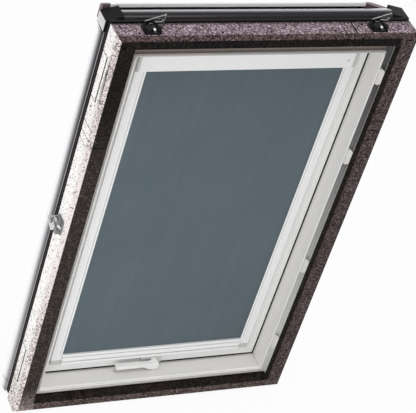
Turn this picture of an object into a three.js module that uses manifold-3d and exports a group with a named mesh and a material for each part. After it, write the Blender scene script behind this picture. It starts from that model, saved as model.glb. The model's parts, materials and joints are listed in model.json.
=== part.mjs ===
// Roof window with its blackout blind, standing on its lower edge.
// X is the width, Z runs up the roof slope and Y goes from the room to the open air.
// Millimetres. Depths are measured from the room face of the insulation block, heights from its
// lower face, and the last lines move the whole window so that the roof plane is y = 0.

import * as THREE from 'three';
import { mergeVertices } from 'three/addons/utils/BufferGeometryUtils.js';
import Module from 'manifold-3d';

const wasm = await Module();
wasm.setup();

// Clearances that every piece shares
const seat_gap = 0.3;
const overrun = 5;
const turn_clearance = 0.1;
const weld_distance = 0.0001;

// Insulation block round the window
const block_overhang_left = 10.5;
const block_overhang_right = 1.5;
const block_height = 1252;
const block_depth = 58;
const block_chamfer = 10;
const block_lip_width = 39.5;
const block_lip_cover = 1;
const block_end_wall = 33;
const block_joint_side_share = 0.7356;
const block_joint_top_share = 0.5236;
const block_joint_bottom_share = -0.6258;
const dovetail_length = 30;
const dovetail_width = 16;
const dovetail_flare = 3;
const batten_plane_depth = 45;

// Fixed frame
const reveal_half_width = 331;
const jamb_width = 39;
const sill_width = 26.7;
const head_width = 37.7;
const frame_face_depth = 22;
const frame_depth = 69;
const lip_width = 4;
const lip_rounding = 1.2;
const groove_width = 18;
const groove_depth = 12;
const frame_seal_offset = 8.5;
const frame_seal_width = 6;

// Lining clips in the side grooves
const clip_length = 48;
const clip_thin = 2.2;
const clip_thick = 13.4;
const clip_corner = 5;
const clip_height_shares = [0.1302, 0.3634, 0.6725, 0.881];

// Sash
const sash_setback = 58.5;
const sash_gap_side = 5.4;
const sash_gap_end = 7;
const sash_face_width = 29.8;
const sash_inner_depth = 19.5;
const sash_flange_overlap = 23.2;
const sash_flange_gap = 3;
const sash_flange_thickness = 30;
const glazing_bite = 18;
const sash_seal_depth = 5;
const sash_seal_setback = 0.7;
const sash_seal_swing_gap = 1.2;

// Glazing unit and its outer cover
const pane_thickness = 4;
const spacer_width = 8;
const spacer_wall_gap = 9;
const cover_plate = 1.5;
const cover_seal_gap = 1.5;
const cover_sight = 2;
const cover_rib_width = 12;
const cover_rib_offset = 5;
const cover_hem = 24;

// Hinges at the top edge
const hinge_inset = 81;
const hinge_leaf_length = 22;
const hinge_knuckle_radius = 4;
const hinge_pin_radius = 2.3;
const hinge_plate = 2.5;
const hinge_axis_setback = 4;
const hinge_axis_rise = 8.8;
const hinge_arm = 4.5;

// Cladding outside
const carrier_thickness = 10.4;
const carrier_inset = 6;
const clad_sheet = 1.5;
const clad_overhang_side = 8;
const clad_overhang_top = 10;
const clad_inset_bottom = 14;
const clad_sash_step = 2;
const clad_crown_width = 22;
const clad_crown_depth = 36;
const clad_sash_gap = 3.5;
const clad_turn_in = 7;
const skirt_setback = 13;
const skirt_crest = 15;
const skirt_rise = 9;
const skirt_fall = 22;
const skirt_turn_in = 6;
const hood_gap = 2.2;
const hood_proud = 4;
const hood_bend = 14;
const hood_rise = 1.5;
const hood_face_height = 11;
const hood_turn_in = 4;
const hood_cap_left_width = 33;
const hood_cap_right_width = 78;
const hood_cap_right_drop = 25;
const hood_right_inset = 27;
const corner_width = 45;
const corner_drop = 11;

// Installation brackets
const bracket_length = 48;
const bracket_foot_depth = 32;
const bracket_foot_thickness = 5;
const bracket_foot_left = 32;
const bracket_foot_right = 10;
const bracket_foot_corner = 4;
const bracket_boss_radii = [9, 6];
const bracket_boss_height = 15;
const bracket_boss_inset = 9;
const bracket_tongue = 10;
const bracket_side_foot_shift = 18;
const bracket_sheet = 3;
const bracket_short_side = 15;
const bracket_long_side = 33;
const bracket_slot_length = 22;
const bracket_slot_width = 8;
const bracket_slot_rise = 8;
const bracket_top_inset = 91.5;
const bracket_side_share = 0.5208;

// Sash handle and lock rods
const handle_x = 12;
const handle_rise = 16;
const handle_base_width = 64;
const handle_base_height = 27;
const handle_base_thickness = 6;
const handle_base_corner = 5;
const handle_base_shift = -6;
const lever_stand_off = 14.2;
const lever_thickness = 12;
const lever_reach = 117;
const lever_width = 13;
const lever_drop = 1.5;
const lever_hub_radius = 10;
const lever_lobe_radius = 11.5;
const lever_lobe_drop = 8;
const lever_sweep = 30;
const spindle_radius = 4.9;
const spindle_hole_radius = 5.4;
const spindle_length_in_sash = 11;
const rod_section = 5.4;
const rod_channel_depth = 6.5;
const rod_channel_room = 0.5;
const rod_start_x = 22;
const rod_reach = 10.7;
const rod_pocket_room = 1;

// Blind
const fabric_proud = 3.5;
const fabric_thickness = 0.5;
const fabric_tuck = 9;
const rail_width = 28.7;
const rail_front_reach = 2;
const rail_back_reach = 9;
const rail_slot = 3;
const rail_slot_reach = 14;
const rail_foot_height = 15;
const rail_foot_proud = 1.4;
const cassette_height = 47;
const cassette_front_reach = 5;
const cassette_back_reach = 22.4;
const cassette_wall = 1.5;
const cassette_rounding = 3;
const cassette_cap_width = 6.4;
const roller_radius = 7;
const roller_bore_radius = 4;
const bar_height = 37.5;
const bar_front_reach = 7;
const bar_back_reach = 2.4;
const bar_tongue = 1.6;
const bar_rest_gap = 0.7;
const bar_ridge_shares = [0.34, 0.66];
const bar_groove_height = 2;
const bar_groove_depth = 1.8;

// Places that several pieces share
const block_inner_half = reveal_half_width + lip_width + groove_width - block_lip_cover;
const block_half_front = block_inner_half + block_lip_width;
const block_left_x = -(block_half_front + block_overhang_left);
const block_right_x = block_half_front + block_overhang_right;
const block_top_inner = block_height - block_end_wall;
const frame_half_width = reveal_half_width + jamb_width;
const frame_back_depth = frame_face_depth + frame_depth;
const frame_foot = block_end_wall + seat_gap;
const frame_top = block_top_inner - seat_gap;
const reveal_bottom = frame_foot + sill_width;
const reveal_top = frame_top - head_width;
const sash_face_depth = frame_face_depth + sash_setback;
const sash_half_width = reveal_half_width - sash_gap_side;
const sash_bottom = reveal_bottom + sash_gap_end;
const sash_top = reveal_top - sash_gap_end;
const handle_height = sash_bottom + handle_rise;
const sash_open_half = sash_half_width - sash_face_width;
const sash_open_bottom = sash_bottom + sash_face_width;
const sash_open_top = sash_top - sash_face_width;
const sash_flange_depth = frame_back_depth + sash_flange_gap;
const sash_back_depth = sash_flange_depth + sash_flange_thickness;
const rebate_depth = sash_face_depth + sash_inner_depth;
const hinge_centre_x = reveal_half_width - hinge_inset;
const hinge_axis_depth = sash_back_depth - hinge_axis_setback;
const hinge_axis_height = sash_top + sash_flange_overlap + hinge_axis_rise;
const carrier_front = block_depth + seat_gap;
const carrier_back = carrier_front + carrier_thickness;
const clad_outer_depth = sash_back_depth + clad_sash_step;
const skirt_outer_depth = clad_outer_depth - skirt_setback;
const hood_outer_depth = clad_outer_depth + hood_proud;
const clad_left_x = block_left_x - clad_overhang_side;
const clad_right_x = block_right_x + clad_overhang_side - carrier_inset / 2;
const clad_top_z = block_height + clad_overhang_top;
const clad_bottom_z = clad_inset_bottom;
const fabric_depth = sash_face_depth - fabric_proud;
const rail_inner_half = sash_open_half - seat_gap - rail_width;
const rail_front_depth = fabric_depth - rail_front_reach;
const rail_back_depth = fabric_depth + rail_back_reach;
const rail_foot_front = rail_front_depth - rail_foot_proud;
const cassette_front_depth = fabric_depth - cassette_front_reach;
const cassette_back_depth = fabric_depth + cassette_back_reach;
const cassette_top = sash_open_top - seat_gap;
const cassette_bottom = cassette_top - cassette_height;
const roller_height = cassette_bottom + cassette_height / 2;
const roller_depth = fabric_depth + fabric_thickness / 2 + seat_gap + roller_radius;
const bar_front_depth = fabric_depth - bar_front_reach;
const bar_back_depth = fabric_depth + bar_back_reach;
const bar_bottom = sash_open_bottom + bar_rest_gap;
const bar_top = bar_bottom + bar_height;

// Solids and booleans

function toSolid(geometry) {
  const plain = geometry.index ? geometry.toNonIndexed() : geometry.clone();
  plain.deleteAttribute('normal');
  plain.deleteAttribute('uv');
  const merged = mergeVertices(plain, weld_distance);
  return new wasm.Manifold(new wasm.Mesh({
    numProp: 3,
    vertProperties: new Float32Array(merged.attributes.position.array),
    triVerts: new Uint32Array(merged.index.array),
  }));
}

function toGeometry(solid) {
  const mesh = solid.getMesh();
  const geometry = new THREE.BufferGeometry();
  geometry.setAttribute('position', new THREE.Float32BufferAttribute(mesh.vertProperties, 3));
  geometry.setIndex(Array.from(mesh.triVerts));
  geometry.computeVertexNormals();
  return geometry;
}

// A stretch of X on one side of the window, s being -1 on the left and 1 on the right
function span(s, from, to) {
  return [Math.min(s * from, s * to), Math.max(s * from, s * to)];
}

function shapeOf(points) {
  return new THREE.Shape(points.map(([u, v]) => new THREE.Vector2(u, v)));
}

function prism(shape, from, to, axisU, axisV, axisT, segments = 8) {
  const geometry = new THREE.ExtrudeGeometry(shape, {
    depth: to - from, bevelEnabled: false, curveSegments: segments,
  });
  geometry.translate(0, 0, from);
  geometry.applyMatrix4(new THREE.Matrix4().makeBasis(axisU, axisV, axisT));
  return geometry;
}

const X = new THREE.Vector3(1, 0, 0);
const Y = new THREE.Vector3(0, 1, 0);
const Z = new THREE.Vector3(0, 0, 1);

// Shape in (y, z), drawn out along X
function prismX(shape, from, to, segments) {
  return prism(shape, from, to, Y, Z, X, segments);
}

// Shape in (x, y), drawn out along Z
function prismZ(shape, from, to, segments) {
  return prism(shape, from, to, X, Y, Z, segments);
}

// Shape in (x, z), drawn out along Y: the depth is reversed to keep the faces outward
function prismY(shape, from, to, segments) {
  return prism(shape, -to, -from, X, Z, Y.clone().negate(), segments);
}

function box(x0, x1, y0, y1, z0, z1) {
  const geometry = new THREE.BoxGeometry(x1 - x0, y1 - y0, z1 - z0);
  return geometry.translate((x0 + x1) / 2, (y0 + y1) / 2, (z0 + z1) / 2);
}

function boxShape(u0, u1, v0, v1) {
  return shapeOf([[u0, v0], [u1, v0], [u1, v1], [u0, v1]]);
}

function roundedShape(u0, u1, v0, v1, radius) {
  const shape = new THREE.Shape();
  shape.moveTo(u0 + radius, v0);
  shape.lineTo(u1 - radius, v0);
  shape.absarc(u1 - radius, v0 + radius, radius, -Math.PI / 2, 0);
  shape.lineTo(u1, v1 - radius);
  shape.absarc(u1 - radius, v1 - radius, radius, 0, Math.PI / 2);
  shape.lineTo(u0 + radius, v1);
  shape.absarc(u0 + radius, v1 - radius, radius, Math.PI / 2, Math.PI);
  shape.lineTo(u0, v0 + radius);
  shape.absarc(u0 + radius, v0 + radius, radius, Math.PI, 1.5 * Math.PI);
  return shape;
}

function ringShape(outer, inner) {
  const shape = boxShape(...outer);
  shape.holes.push(boxShape(...inner));
  return shape;
}

// Drops the points of a bend that fall on its neighbours, then gives the sheet its thickness:
// the outside line is followed there and the line one sheet inside is followed back.
function sheetShape(path, thickness, divisions) {
  const line = path.getPoints(divisions);
  const points = line.filter((p, i) => i === 0 || p.distanceTo(line[i - 1]) > seat_gap);
  const normals = points.slice(1).map((p, i) => {
    const along = p.clone().sub(points[i]).normalize();
    return new THREE.Vector2(-along.y, along.x);
  });
  const inside = points.map((p, i) => {
    const before = normals[Math.max(i - 1, 0)];
    const after = normals[Math.min(i, normals.length - 1)];
    const middle = before.clone().add(after).normalize();
    return p.clone().addScaledVector(middle, thickness / middle.dot(before));
  });
  return new THREE.Shape([...points, ...inside.reverse()]);
}

// Finishes

function finish(colour, roughness, metalness) {
  return new THREE.MeshStandardMaterial({ color: colour, roughness, metalness });
}

const foam = finish(0x4a3d40, 0.9, 0);
const pvc = finish(0xe4e4e2, 0.35, 0);
const clip_plastic = finish(0xf2f1ee, 0.45, 0);
const black_plastic = finish(0x1c1a1c, 0.5, 0);
const rubber = finish(0x121212, 0.8, 0);
const clad_metal = finish(0x3a3540, 0.3, 0.7);
const hood_metal = finish(0xc9c7cd, 0.25, 0.6);
const cap_metal = finish(0x5d4b52, 0.4, 0.3);
const steel = finish(0xa9aeb0, 0.3, 0.9);
const glass = finish(0xbfd4d0, 0.05, 0);
const handle_paint = finish(0xf0f0ee, 0.3, 0);
const blind_white = finish(0xe9e9e8, 0.4, 0);
const blind_grey = finish(0xb9b8b6, 0.5, 0);
const blackout = finish(0x606d72, 0.85, 0);

const roof_window = new THREE.Group();
const fixed_part = new THREE.Group();
const sash_part = new THREE.Group();
const blind_part = new THREE.Group();
roof_window.add(fixed_part, sash_part, blind_part);

function place(group, name, body, material) {
  const geometry = body.isBufferGeometry ? body : toGeometry(body);
  const mesh = new THREE.Mesh(geometry, material);
  mesh.name = name;
  group.add(mesh);
  return mesh;
}

// Insulation block: four moulded corner pieces that interlock with dovetails

function foamRing() {
  const core = new THREE.BoxGeometry(1, 1, 1);
  const corners = core.attributes.position;
  for (let i = 0; i < corners.count; i += 1) {
    const at_front = corners.getY(i) < 0;
    const inset = at_front ? 1 : 0;
    const left = block_left_x + inset * block_overhang_left;
    const right = block_right_x - inset * block_overhang_right;
    const foot = inset * block_chamfer;
    corners.setXYZ(
      i,
      corners.getX(i) < 0 ? left : right,
      at_front ? 0 : block_chamfer,
      corners.getZ(i) < 0 ? foot : block_height - foot,
    );
  }
  const body = box(block_left_x, block_right_x, block_chamfer, block_depth, 0, block_height);
  const daylight = box(
    -block_inner_half, block_inner_half, -overrun, block_depth + overrun,
    block_end_wall, block_top_inner,
  );
  const rebate = box(
    -frame_half_width - seat_gap, frame_half_width + seat_gap,
    frame_face_depth - seat_gap, block_depth + overrun,
    block_end_wall, block_top_inner,
  );
  return toSolid(core).add(toSolid(body)).subtract(toSolid(daylight)).subtract(toSolid(rebate));
}

// Joint line across one wall, as distances across it and along it; the socket side grows by a gap
function dovetail(wall, grow) {
  const near = (wall - dovetail_width) / 2;
  const far = (wall + dovetail_width) / 2;
  return [
    [-overrun, grow],
    [near - grow, grow],
    [near - dovetail_flare - grow, dovetail_length + grow],
    [far + dovetail_flare + grow, dovetail_length + grow],
    [far + grow, grow],
    [wall + overrun, grow],
  ];
}

const side_wall_left = -block_inner_half - block_left_x;
const side_wall_right = block_right_x - block_inner_half;
const joint_lines = {
  left: (grow) => dovetail(side_wall_left, grow)
    .map(([u, v]) => [block_left_x + u, block_joint_side_share * block_height + v]),
  right: (grow) => dovetail(side_wall_right, grow)
    .map(([u, v]) => [block_right_x - u, block_joint_side_share * block_height + v]),
  top: (grow) => dovetail(block_end_wall, grow)
    .map(([u, v]) => [block_joint_top_share * block_half_front + v, block_height - u]),
  bottom: (grow) => dovetail(block_end_wall, grow)
    .map(([u, v]) => [block_joint_bottom_share * block_half_front + v, u]),
};

const block_middle = [0, block_height / 2];
const far_left = block_left_x - overrun;
const far_right = block_right_x + overrun;
const far_top = block_height + overrun;

function cornerPiece(first, second, corner) {
  const region = shapeOf([...first, block_middle, ...second.reverse(), corner]);
  return foamRing().intersect(toSolid(prismY(region, -overrun, block_depth + overrun)));
}

place(fixed_part, 'insulation_top_left', cornerPiece(
  joint_lines.left(seat_gap), joint_lines.top(0), [far_left, far_top],
), foam);
place(fixed_part, 'insulation_top_right', cornerPiece(
  joint_lines.top(seat_gap), joint_lines.right(seat_gap), [far_right, far_top],
), foam);
place(fixed_part, 'insulation_bottom_right', cornerPiece(
  joint_lines.right(0), joint_lines.bottom(seat_gap), [far_right, -overrun],
), foam);
place(fixed_part, 'insulation_bottom_left', cornerPiece(
  joint_lines.bottom(0), joint_lines.left(0), [far_left, -overrun],
), foam);

// Fixed frame: welded profiles with a lip and a groove for the room lining

function frameSection(width, groove_wall) {
  const lip_top = frame_face_depth;
  const floor = frame_face_depth + groove_depth;
  const wall = lip_width + groove_width;
  const rim = groove_wall ? [[wall, floor], [wall, lip_top], [width, lip_top]] : [[width, floor]];
  return [
    [0, frame_back_depth],
    [0, lip_top + lip_rounding],
    [lip_rounding, lip_top],
    [lip_width - lip_rounding / 2, lip_top],
    [lip_width, lip_top + lip_rounding],
    [lip_width, floor],
    ...rim,
    [width, frame_back_depth],
  ];
}

// Outline of one bar seen from the room, mitred from the inner corners to the outer ones
function mitredFace(bar, open, widths, gap) {
  const { left, right, bottom, top } = open;
  const reach = (side, cap) => Math.min(widths[side], cap);
  const low = reach('bottom', widths.side);
  const high = reach('top', widths.side);
  const slip = gap * Math.SQRT2;
  if (bar === 'bottom') {
    return shapeOf([
      [left + slip, bottom], [right - slip, bottom],
      [right + low - slip, bottom - low], [left - low + slip, bottom - low],
    ]);
  }
  if (bar === 'top') {
    return shapeOf([
      [left + slip, top], [left - high + slip, top + high],
      [right + high - slip, top + high], [right - slip, top],
    ]);
  }
  const s = bar === 'left' ? -1 : 1;
  const inner = bar === 'left' ? left : right;
  return shapeOf([
    [inner, bottom], [inner, top], [inner + s * high, top + high],
    [inner + s * widths.side, top + high], [inner + s * widths.side, bottom - low],
    [inner + s * low, bottom - low],
  ]);
}

function mitredBar(bar, open, widths, section, depths) {
  const face = toSolid(prismY(mitredFace(bar, open, widths, seat_gap), ...depths));
  const far = 2 * block_height;
  let length;
  if (bar === 'left') length = prismZ(shapeOf(section.map(([r, y]) => [open.left - r, y])), -far, far);
  if (bar === 'right') {
    length = prismZ(shapeOf(section.map(([r, y]) => [open.right + r, y])), -far, far);
  }
  if (bar === 'top') {
    length = prismX(shapeOf(section.map(([r, y]) => [y, open.top + r])), -far, far);
  }
  if (bar === 'bottom') {
    length = prismX(shapeOf(section.map(([r, y]) => [y, open.bottom - r])), -far, far);
  }
  return toSolid(length).intersect(face);
}

const reveal = {
  left: -reveal_half_width, right: reveal_half_width, bottom: reveal_bottom, top: reveal_top,
};
const frame_widths = { side: jamb_width, bottom: sill_width, top: head_width };
const frame_depths = [frame_face_depth - overrun, frame_back_depth + overrun];

const rod_height = sash_bottom + rod_section / 2 + rod_channel_room;
const rod_depth = sash_flange_depth - rod_pocket_room - rod_channel_room - rod_section / 2;
const pocket_half = rod_section / 2 + rod_pocket_room;
const rod_tip_x = sash_half_width + rod_reach;

function frameJamb(side) {
  const s = side === 'left' ? -1 : 1;
  const near = s * (reveal_half_width - overrun);
  const far = s * (rod_tip_x + rod_pocket_room);
  const pocket = box(
    Math.min(near, far), Math.max(near, far), rod_depth - pocket_half, frame_back_depth + overrun,
    rod_height - pocket_half, rod_height + pocket_half,
  );
  return mitredBar(side, reveal, frame_widths, frameSection(jamb_width, true), frame_depths)
    .subtract(toSolid(pocket));
}

place(fixed_part, 'frame_jamb_left', frameJamb('left'), pvc);
place(fixed_part, 'frame_jamb_right', frameJamb('right'), pvc);
place(fixed_part, 'frame_sill', mitredBar(
  'bottom', reveal, frame_widths, frameSection(sill_width, false), frame_depths,
), pvc);
place(fixed_part, 'frame_head', mitredBar(
  'top', reveal, frame_widths, frameSection(head_width, true), frame_depths,
), pvc);

function ringAround(open, offset, width) {
  const inner = [open.left - offset, open.right + offset, open.bottom - offset, open.top + offset];
  const outer = [inner[0] - width, inner[1] + width, inner[2] - width, inner[3] + width];
  return ringShape(outer, inner);
}

place(fixed_part, 'frame_seal', prismY(
  ringAround(reveal, frame_seal_offset, frame_seal_width),
  frame_back_depth + seat_gap, sash_flange_depth - seat_gap,
), rubber);

// Lining clips: sloping tabs snapped into the side grooves
const clip_face = frame_face_depth + groove_depth - seat_gap;

for (const s of [-1, 1]) {
  const near = reveal_half_width + lip_width + seat_gap;
  const far = block_inner_half - seat_gap;
  const wedge = toSolid(prismZ(shapeOf([
    [s * near, clip_face], [s * near, clip_face - clip_thin],
    [s * far, clip_face - clip_thick], [s * far, clip_face],
  ]), -clip_length / 2, clip_length / 2));
  const outline = shapeOf([
    [s * near, -clip_length / 2], [s * near, clip_length / 2],
    [s * (far - clip_corner), clip_length / 2], [s * far, clip_length / 2 - clip_corner],
    [s * far, clip_corner - clip_length / 2], [s * (far - clip_corner), -clip_length / 2],
  ]);
  const tab = toGeometry(wedge.intersect(toSolid(prismY(outline, 0, block_depth))));
  clip_height_shares.forEach((share, i) => {
    const name = `lining_clip_${s < 0 ? 'left' : 'right'}_${i + 1}`;
    place(fixed_part, name, tab, clip_plastic).position.z = share * block_height;
  });
}

// Sash: mitred profiles with a flange that closes on the frame seal

const sash_open = {
  left: -sash_open_half, right: sash_open_half, bottom: sash_open_bottom, top: sash_open_top,
};
const flange_reach = sash_face_width + sash_flange_overlap;
const sash_widths = { side: flange_reach, bottom: flange_reach, top: flange_reach };
const sash_section = [
  [0, sash_face_depth], [0, rebate_depth], [glazing_bite, rebate_depth],
  [glazing_bite, sash_back_depth], [flange_reach, sash_back_depth],
  [flange_reach, sash_flange_depth], [sash_face_width, sash_flange_depth],
  [sash_face_width, sash_face_depth],
];
const rod_channel = toSolid(box(
  -rod_tip_x, rod_tip_x, rod_depth - rod_section / 2 - rod_channel_room,
  rod_depth + rod_section / 2 + rod_channel_room,
  sash_bottom - overrun, sash_bottom + rod_channel_depth,
));

function sashBar(bar) {
  return mitredBar(bar, sash_open, sash_widths, sash_section, [0, sash_back_depth + overrun]);
}

function turnedAboutY(radius, from, to, x, z, sides = 24) {
  const geometry = new THREE.CylinderGeometry(radius, radius, to - from, sides);
  return geometry.translate(x, (from + to) / 2, z);
}

place(sash_part, 'sash_jamb_left', sashBar('left').subtract(rod_channel), pvc);
place(sash_part, 'sash_jamb_right', sashBar('right').subtract(rod_channel), pvc);
place(sash_part, 'sash_head', sashBar('top'), pvc);
place(sash_part, 'sash_sill', sashBar('bottom').subtract(rod_channel).subtract(toSolid(
  turnedAboutY(
    spindle_hole_radius, sash_face_depth - overrun,
    sash_face_depth + spindle_length_in_sash + seat_gap, handle_x, handle_height,
  ),
)), pvc);

place(sash_part, 'sash_seal', prismY(ringShape(
  [
    -reveal_half_width + sash_seal_setback, reveal_half_width - sash_seal_setback,
    reveal_bottom + sash_seal_swing_gap, reveal_top - sash_seal_setback,
  ],
  [
    -sash_half_width - seat_gap, sash_half_width + seat_gap,
    sash_bottom - seat_gap, sash_top + seat_gap,
  ],
), sash_face_depth + seat_gap, sash_face_depth + seat_gap + sash_seal_depth), rubber);

// Glazing unit: two panes on a spacer, held by an outer cover frame

const pane_edge = glazing_bite - seat_gap;
const pane_inner_face = rebate_depth + seat_gap;
const pane_outer_back = sash_back_depth - seat_gap;
const pane_extent = [
  sash_open.left - pane_edge, sash_open.right + pane_edge,
  sash_open.bottom - pane_edge, sash_open.top + pane_edge,
];
const pane_box = (from, to) => box(
  pane_extent[0], pane_extent[1], from, to, pane_extent[2], pane_extent[3],
);
place(sash_part, 'pane_inner', pane_box(pane_inner_face, pane_inner_face + pane_thickness), glass);
place(sash_part, 'pane_outer', pane_box(pane_outer_back - pane_thickness, pane_outer_back), glass);
place(sash_part, 'pane_spacer', prismY(
  ringAround(sash_open, pane_edge - spacer_wall_gap - spacer_width / 2, spacer_width),
  pane_inner_face + pane_thickness + seat_gap, pane_outer_back - pane_thickness - seat_gap,
), steel);

const cover_front = sash_back_depth + cover_seal_gap;
const cover_back = cover_front + cover_plate;
const flange_half = sash_open_half + flange_reach;
const flange_foot = sash_open_bottom - flange_reach;
const flange_top = sash_open_top + flange_reach;
const hem_reach = seat_gap + cover_plate;
const cover_body = toSolid(box(
  -flange_half - hem_reach, flange_half + hem_reach, cover_back - cover_hem, cover_back,
  flange_foot - hem_reach, flange_top,
));
const cover_hollow = toSolid(box(
  -flange_half - seat_gap, flange_half + seat_gap, cover_back - cover_hem - overrun, cover_front,
  flange_foot - seat_gap, flange_top + overrun,
));
const cover_window = toSolid(box(
  -sash_open_half - cover_sight, sash_open_half + cover_sight, sash_face_depth, cover_back + overrun,
  sash_open_bottom - cover_sight, sash_open_top + cover_sight,
));
const cover_rib = toSolid(prismY(
  ringAround(sash_open, glazing_bite + cover_rib_offset, cover_rib_width),
  sash_back_depth + seat_gap, cover_front + cover_plate / 2,
));
place(sash_part, 'sash_cover',
  cover_body.subtract(cover_hollow).subtract(cover_window).add(cover_rib), clad_metal);

// Hinges between the head and the sash flange

const knuckle = hinge_knuckle_radius;
function sashLeaf() {
  const plate_foot = flange_top + seat_gap;
  const plate_top = plate_foot + hinge_plate;
  const shape = new THREE.Shape();
  shape.moveTo(sash_flange_depth + knuckle, plate_foot);
  shape.lineTo(hinge_axis_depth + knuckle, plate_foot);
  shape.lineTo(hinge_axis_depth + knuckle, hinge_axis_height);
  shape.absarc(hinge_axis_depth, hinge_axis_height, knuckle, 0, Math.PI);
  shape.lineTo(hinge_axis_depth - knuckle, plate_top);
  shape.lineTo(sash_flange_depth + knuckle, plate_top);
  const hole = new THREE.Path();
  hole.absarc(
    hinge_axis_depth, hinge_axis_height, hinge_pin_radius + turn_clearance, 0, 2 * Math.PI, true,
  );
  shape.holes.push(hole);
  return shape;
}

function frameLeaf() {
  const foot = frame_back_depth + seat_gap;
  const shape = new THREE.Shape();
  shape.moveTo(foot, hinge_axis_height - knuckle / 2);
  shape.lineTo(foot + hinge_plate, hinge_axis_height - knuckle / 2);
  shape.lineTo(foot + hinge_plate, hinge_axis_height + knuckle);
  shape.lineTo(hinge_axis_depth - knuckle, hinge_axis_height + knuckle);
  shape.lineTo(hinge_axis_depth - knuckle, hinge_axis_height);
  shape.absarc(hinge_axis_depth, hinge_axis_height, knuckle, Math.PI, 2 * Math.PI);
  shape.lineTo(hinge_axis_depth + knuckle, hinge_axis_height + knuckle + hinge_arm);
  shape.lineTo(foot, hinge_axis_height + knuckle + hinge_arm);
  return shape;
}

for (const s of [-1, 1]) {
  const side = s < 0 ? 'left' : 'right';
  const inner = hinge_centre_x - hinge_leaf_length;
  const outer = hinge_centre_x + hinge_leaf_length;
  const middle_in = hinge_centre_x - seat_gap / 2;
  const middle_out = hinge_centre_x + seat_gap / 2;
  const pin_span = span(s, inner, middle_out + overrun);
  const pin = new THREE.CylinderGeometry(
    hinge_pin_radius, hinge_pin_radius, pin_span[1] - pin_span[0], 24,
  );
  pin.rotateZ(Math.PI / 2);
  pin.translate((pin_span[0] + pin_span[1]) / 2, hinge_axis_depth, hinge_axis_height);
  place(fixed_part, `hinge_frame_${side}`,
    toSolid(prismX(frameLeaf(), ...span(s, middle_out, outer))).add(toSolid(pin)), steel);
  place(sash_part, `hinge_sash_${side}`, prismX(sashLeaf(), ...span(s, inner, middle_in), 24), steel);
}

// Cladding: a black carrier behind the block, then folded metal covers all round

const carrier_outer = [
  block_left_x - carrier_inset / 3, block_right_x - carrier_inset / 2,
  clad_bottom_z + carrier_inset, clad_top_z - carrier_inset,
];
place(fixed_part, 'cladding_carrier', prismY(ringShape(carrier_outer, [
  -frame_half_width - seat_gap, frame_half_width + seat_gap,
  frame_foot - seat_gap, frame_top + seat_gap,
]), carrier_front, carrier_back), black_plastic);

// Section of a cover: foot on the carrier, a swelling outer side, turned in at the sash.
// It is drawn as (distance out from the sash edge, depth), from the frame's side to the outside.
function coverSection(inner, outer) {
  const foot = carrier_back + seat_gap;
  const crown = clad_outer_depth - clad_crown_depth;
  const start = Math.asin((foot - crown) / clad_crown_depth);
  const path = new THREE.Path();
  path.moveTo(inner, foot);
  path.absellipse(
    outer - clad_crown_width, crown, clad_crown_width, clad_crown_depth, start, Math.PI / 2,
  );
  path.lineTo(0, clad_outer_depth);
  path.lineTo(0, clad_outer_depth - clad_turn_in);
  return sheetShape(path, clad_sheet, 5);
}

const clad_open = {
  left: -flange_half - clad_sash_gap, right: flange_half + clad_sash_gap,
  bottom: flange_foot - clad_sash_gap, top: frame_top,
};

function cladFace(side) {
  if (side === 'bottom') {
    const slip = seat_gap * Math.SQRT2;
    const left = clad_open.left - clad_left_x;
    const right = clad_right_x - clad_open.right;
    return shapeOf([
      [clad_open.left + slip, clad_open.bottom], [clad_open.right - slip, clad_open.bottom],
      [clad_open.right + right - slip, clad_bottom_z], [clad_open.left - left + slip, clad_bottom_z],
    ]);
  }
  const inner = clad_open[side];
  const outer = side === 'left' ? clad_left_x : clad_right_x;
  return shapeOf([
    [inner, clad_open.bottom], [inner, clad_open.top], [outer, clad_open.top], [outer, clad_bottom_z],
  ]);
}

function cover(side) {
  const frame_side = frame_half_width - clad_open.right;
  const [inner, outer] = {
    left: [frame_side, clad_open.left - clad_left_x],
    right: [frame_side, clad_right_x - clad_open.right],
    bottom: [clad_open.bottom - frame_foot, clad_open.bottom - clad_bottom_z],
  }[side];
  const section = coverSection(inner + 2 * seat_gap, outer).getPoints();
  const put = {
    left: ({ x, y }) => [clad_open.left - x, y],
    right: ({ x, y }) => [clad_open.right + x, y],
    bottom: ({ x, y }) => [y, clad_open.bottom - x],
  };
  const shape = shapeOf(section.map(put[side]));
  const draw = side === 'bottom' ? prismX : prismZ;
  const far = 2 * block_height;
  const face = prismY(cladFace(side), 0, clad_outer_depth + overrun);
  return toSolid(draw(shape, -far, far)).intersect(toSolid(face));
}

for (const side of ['left', 'right', 'bottom']) {
  place(fixed_part, `cladding_${side}`, cover(side), clad_metal);
}

// Black corner pieces close the cladding at the top, with the skirt between them

function cornerBlock(s) {
  const outer = s < 0 ? -clad_left_x : clad_right_x;
  const inner = outer - corner_width;
  return prismY(shapeOf([
    [s * inner, clad_open.top + seat_gap], [s * inner, clad_top_z],
    [s * outer, clad_top_z - corner_drop], [s * outer, clad_open.top + seat_gap],
  ]), carrier_back + seat_gap, skirt_outer_depth);
}
place(fixed_part, 'corner_left', cornerBlock(-1), black_plastic);
place(fixed_part, 'corner_right', cornerBlock(1), black_plastic);

const skirt_path = new THREE.Path();
const skirt_foot = carrier_back + seat_gap;
skirt_path.moveTo(skirt_foot, frame_top + 2 * seat_gap);
skirt_path.absellipse(
  skirt_foot + skirt_crest, clad_top_z - skirt_rise, skirt_crest, skirt_rise,
  Math.PI, Math.PI / 2, true,
);
skirt_path.absellipse(
  skirt_foot + skirt_crest, clad_top_z - skirt_fall,
  skirt_outer_depth - skirt_foot - skirt_crest, skirt_fall, Math.PI / 2, 0, true,
);
skirt_path.lineTo(skirt_outer_depth, clad_top_z - skirt_fall - skirt_turn_in);
place(fixed_part, 'cladding_top', prismX(
  sheetShape(skirt_path, -clad_sheet, 5),
  clad_left_x + corner_width + seat_gap, clad_right_x - corner_width - seat_gap,
), clad_metal);

// Hood over the hinges, with a cap at each end

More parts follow.
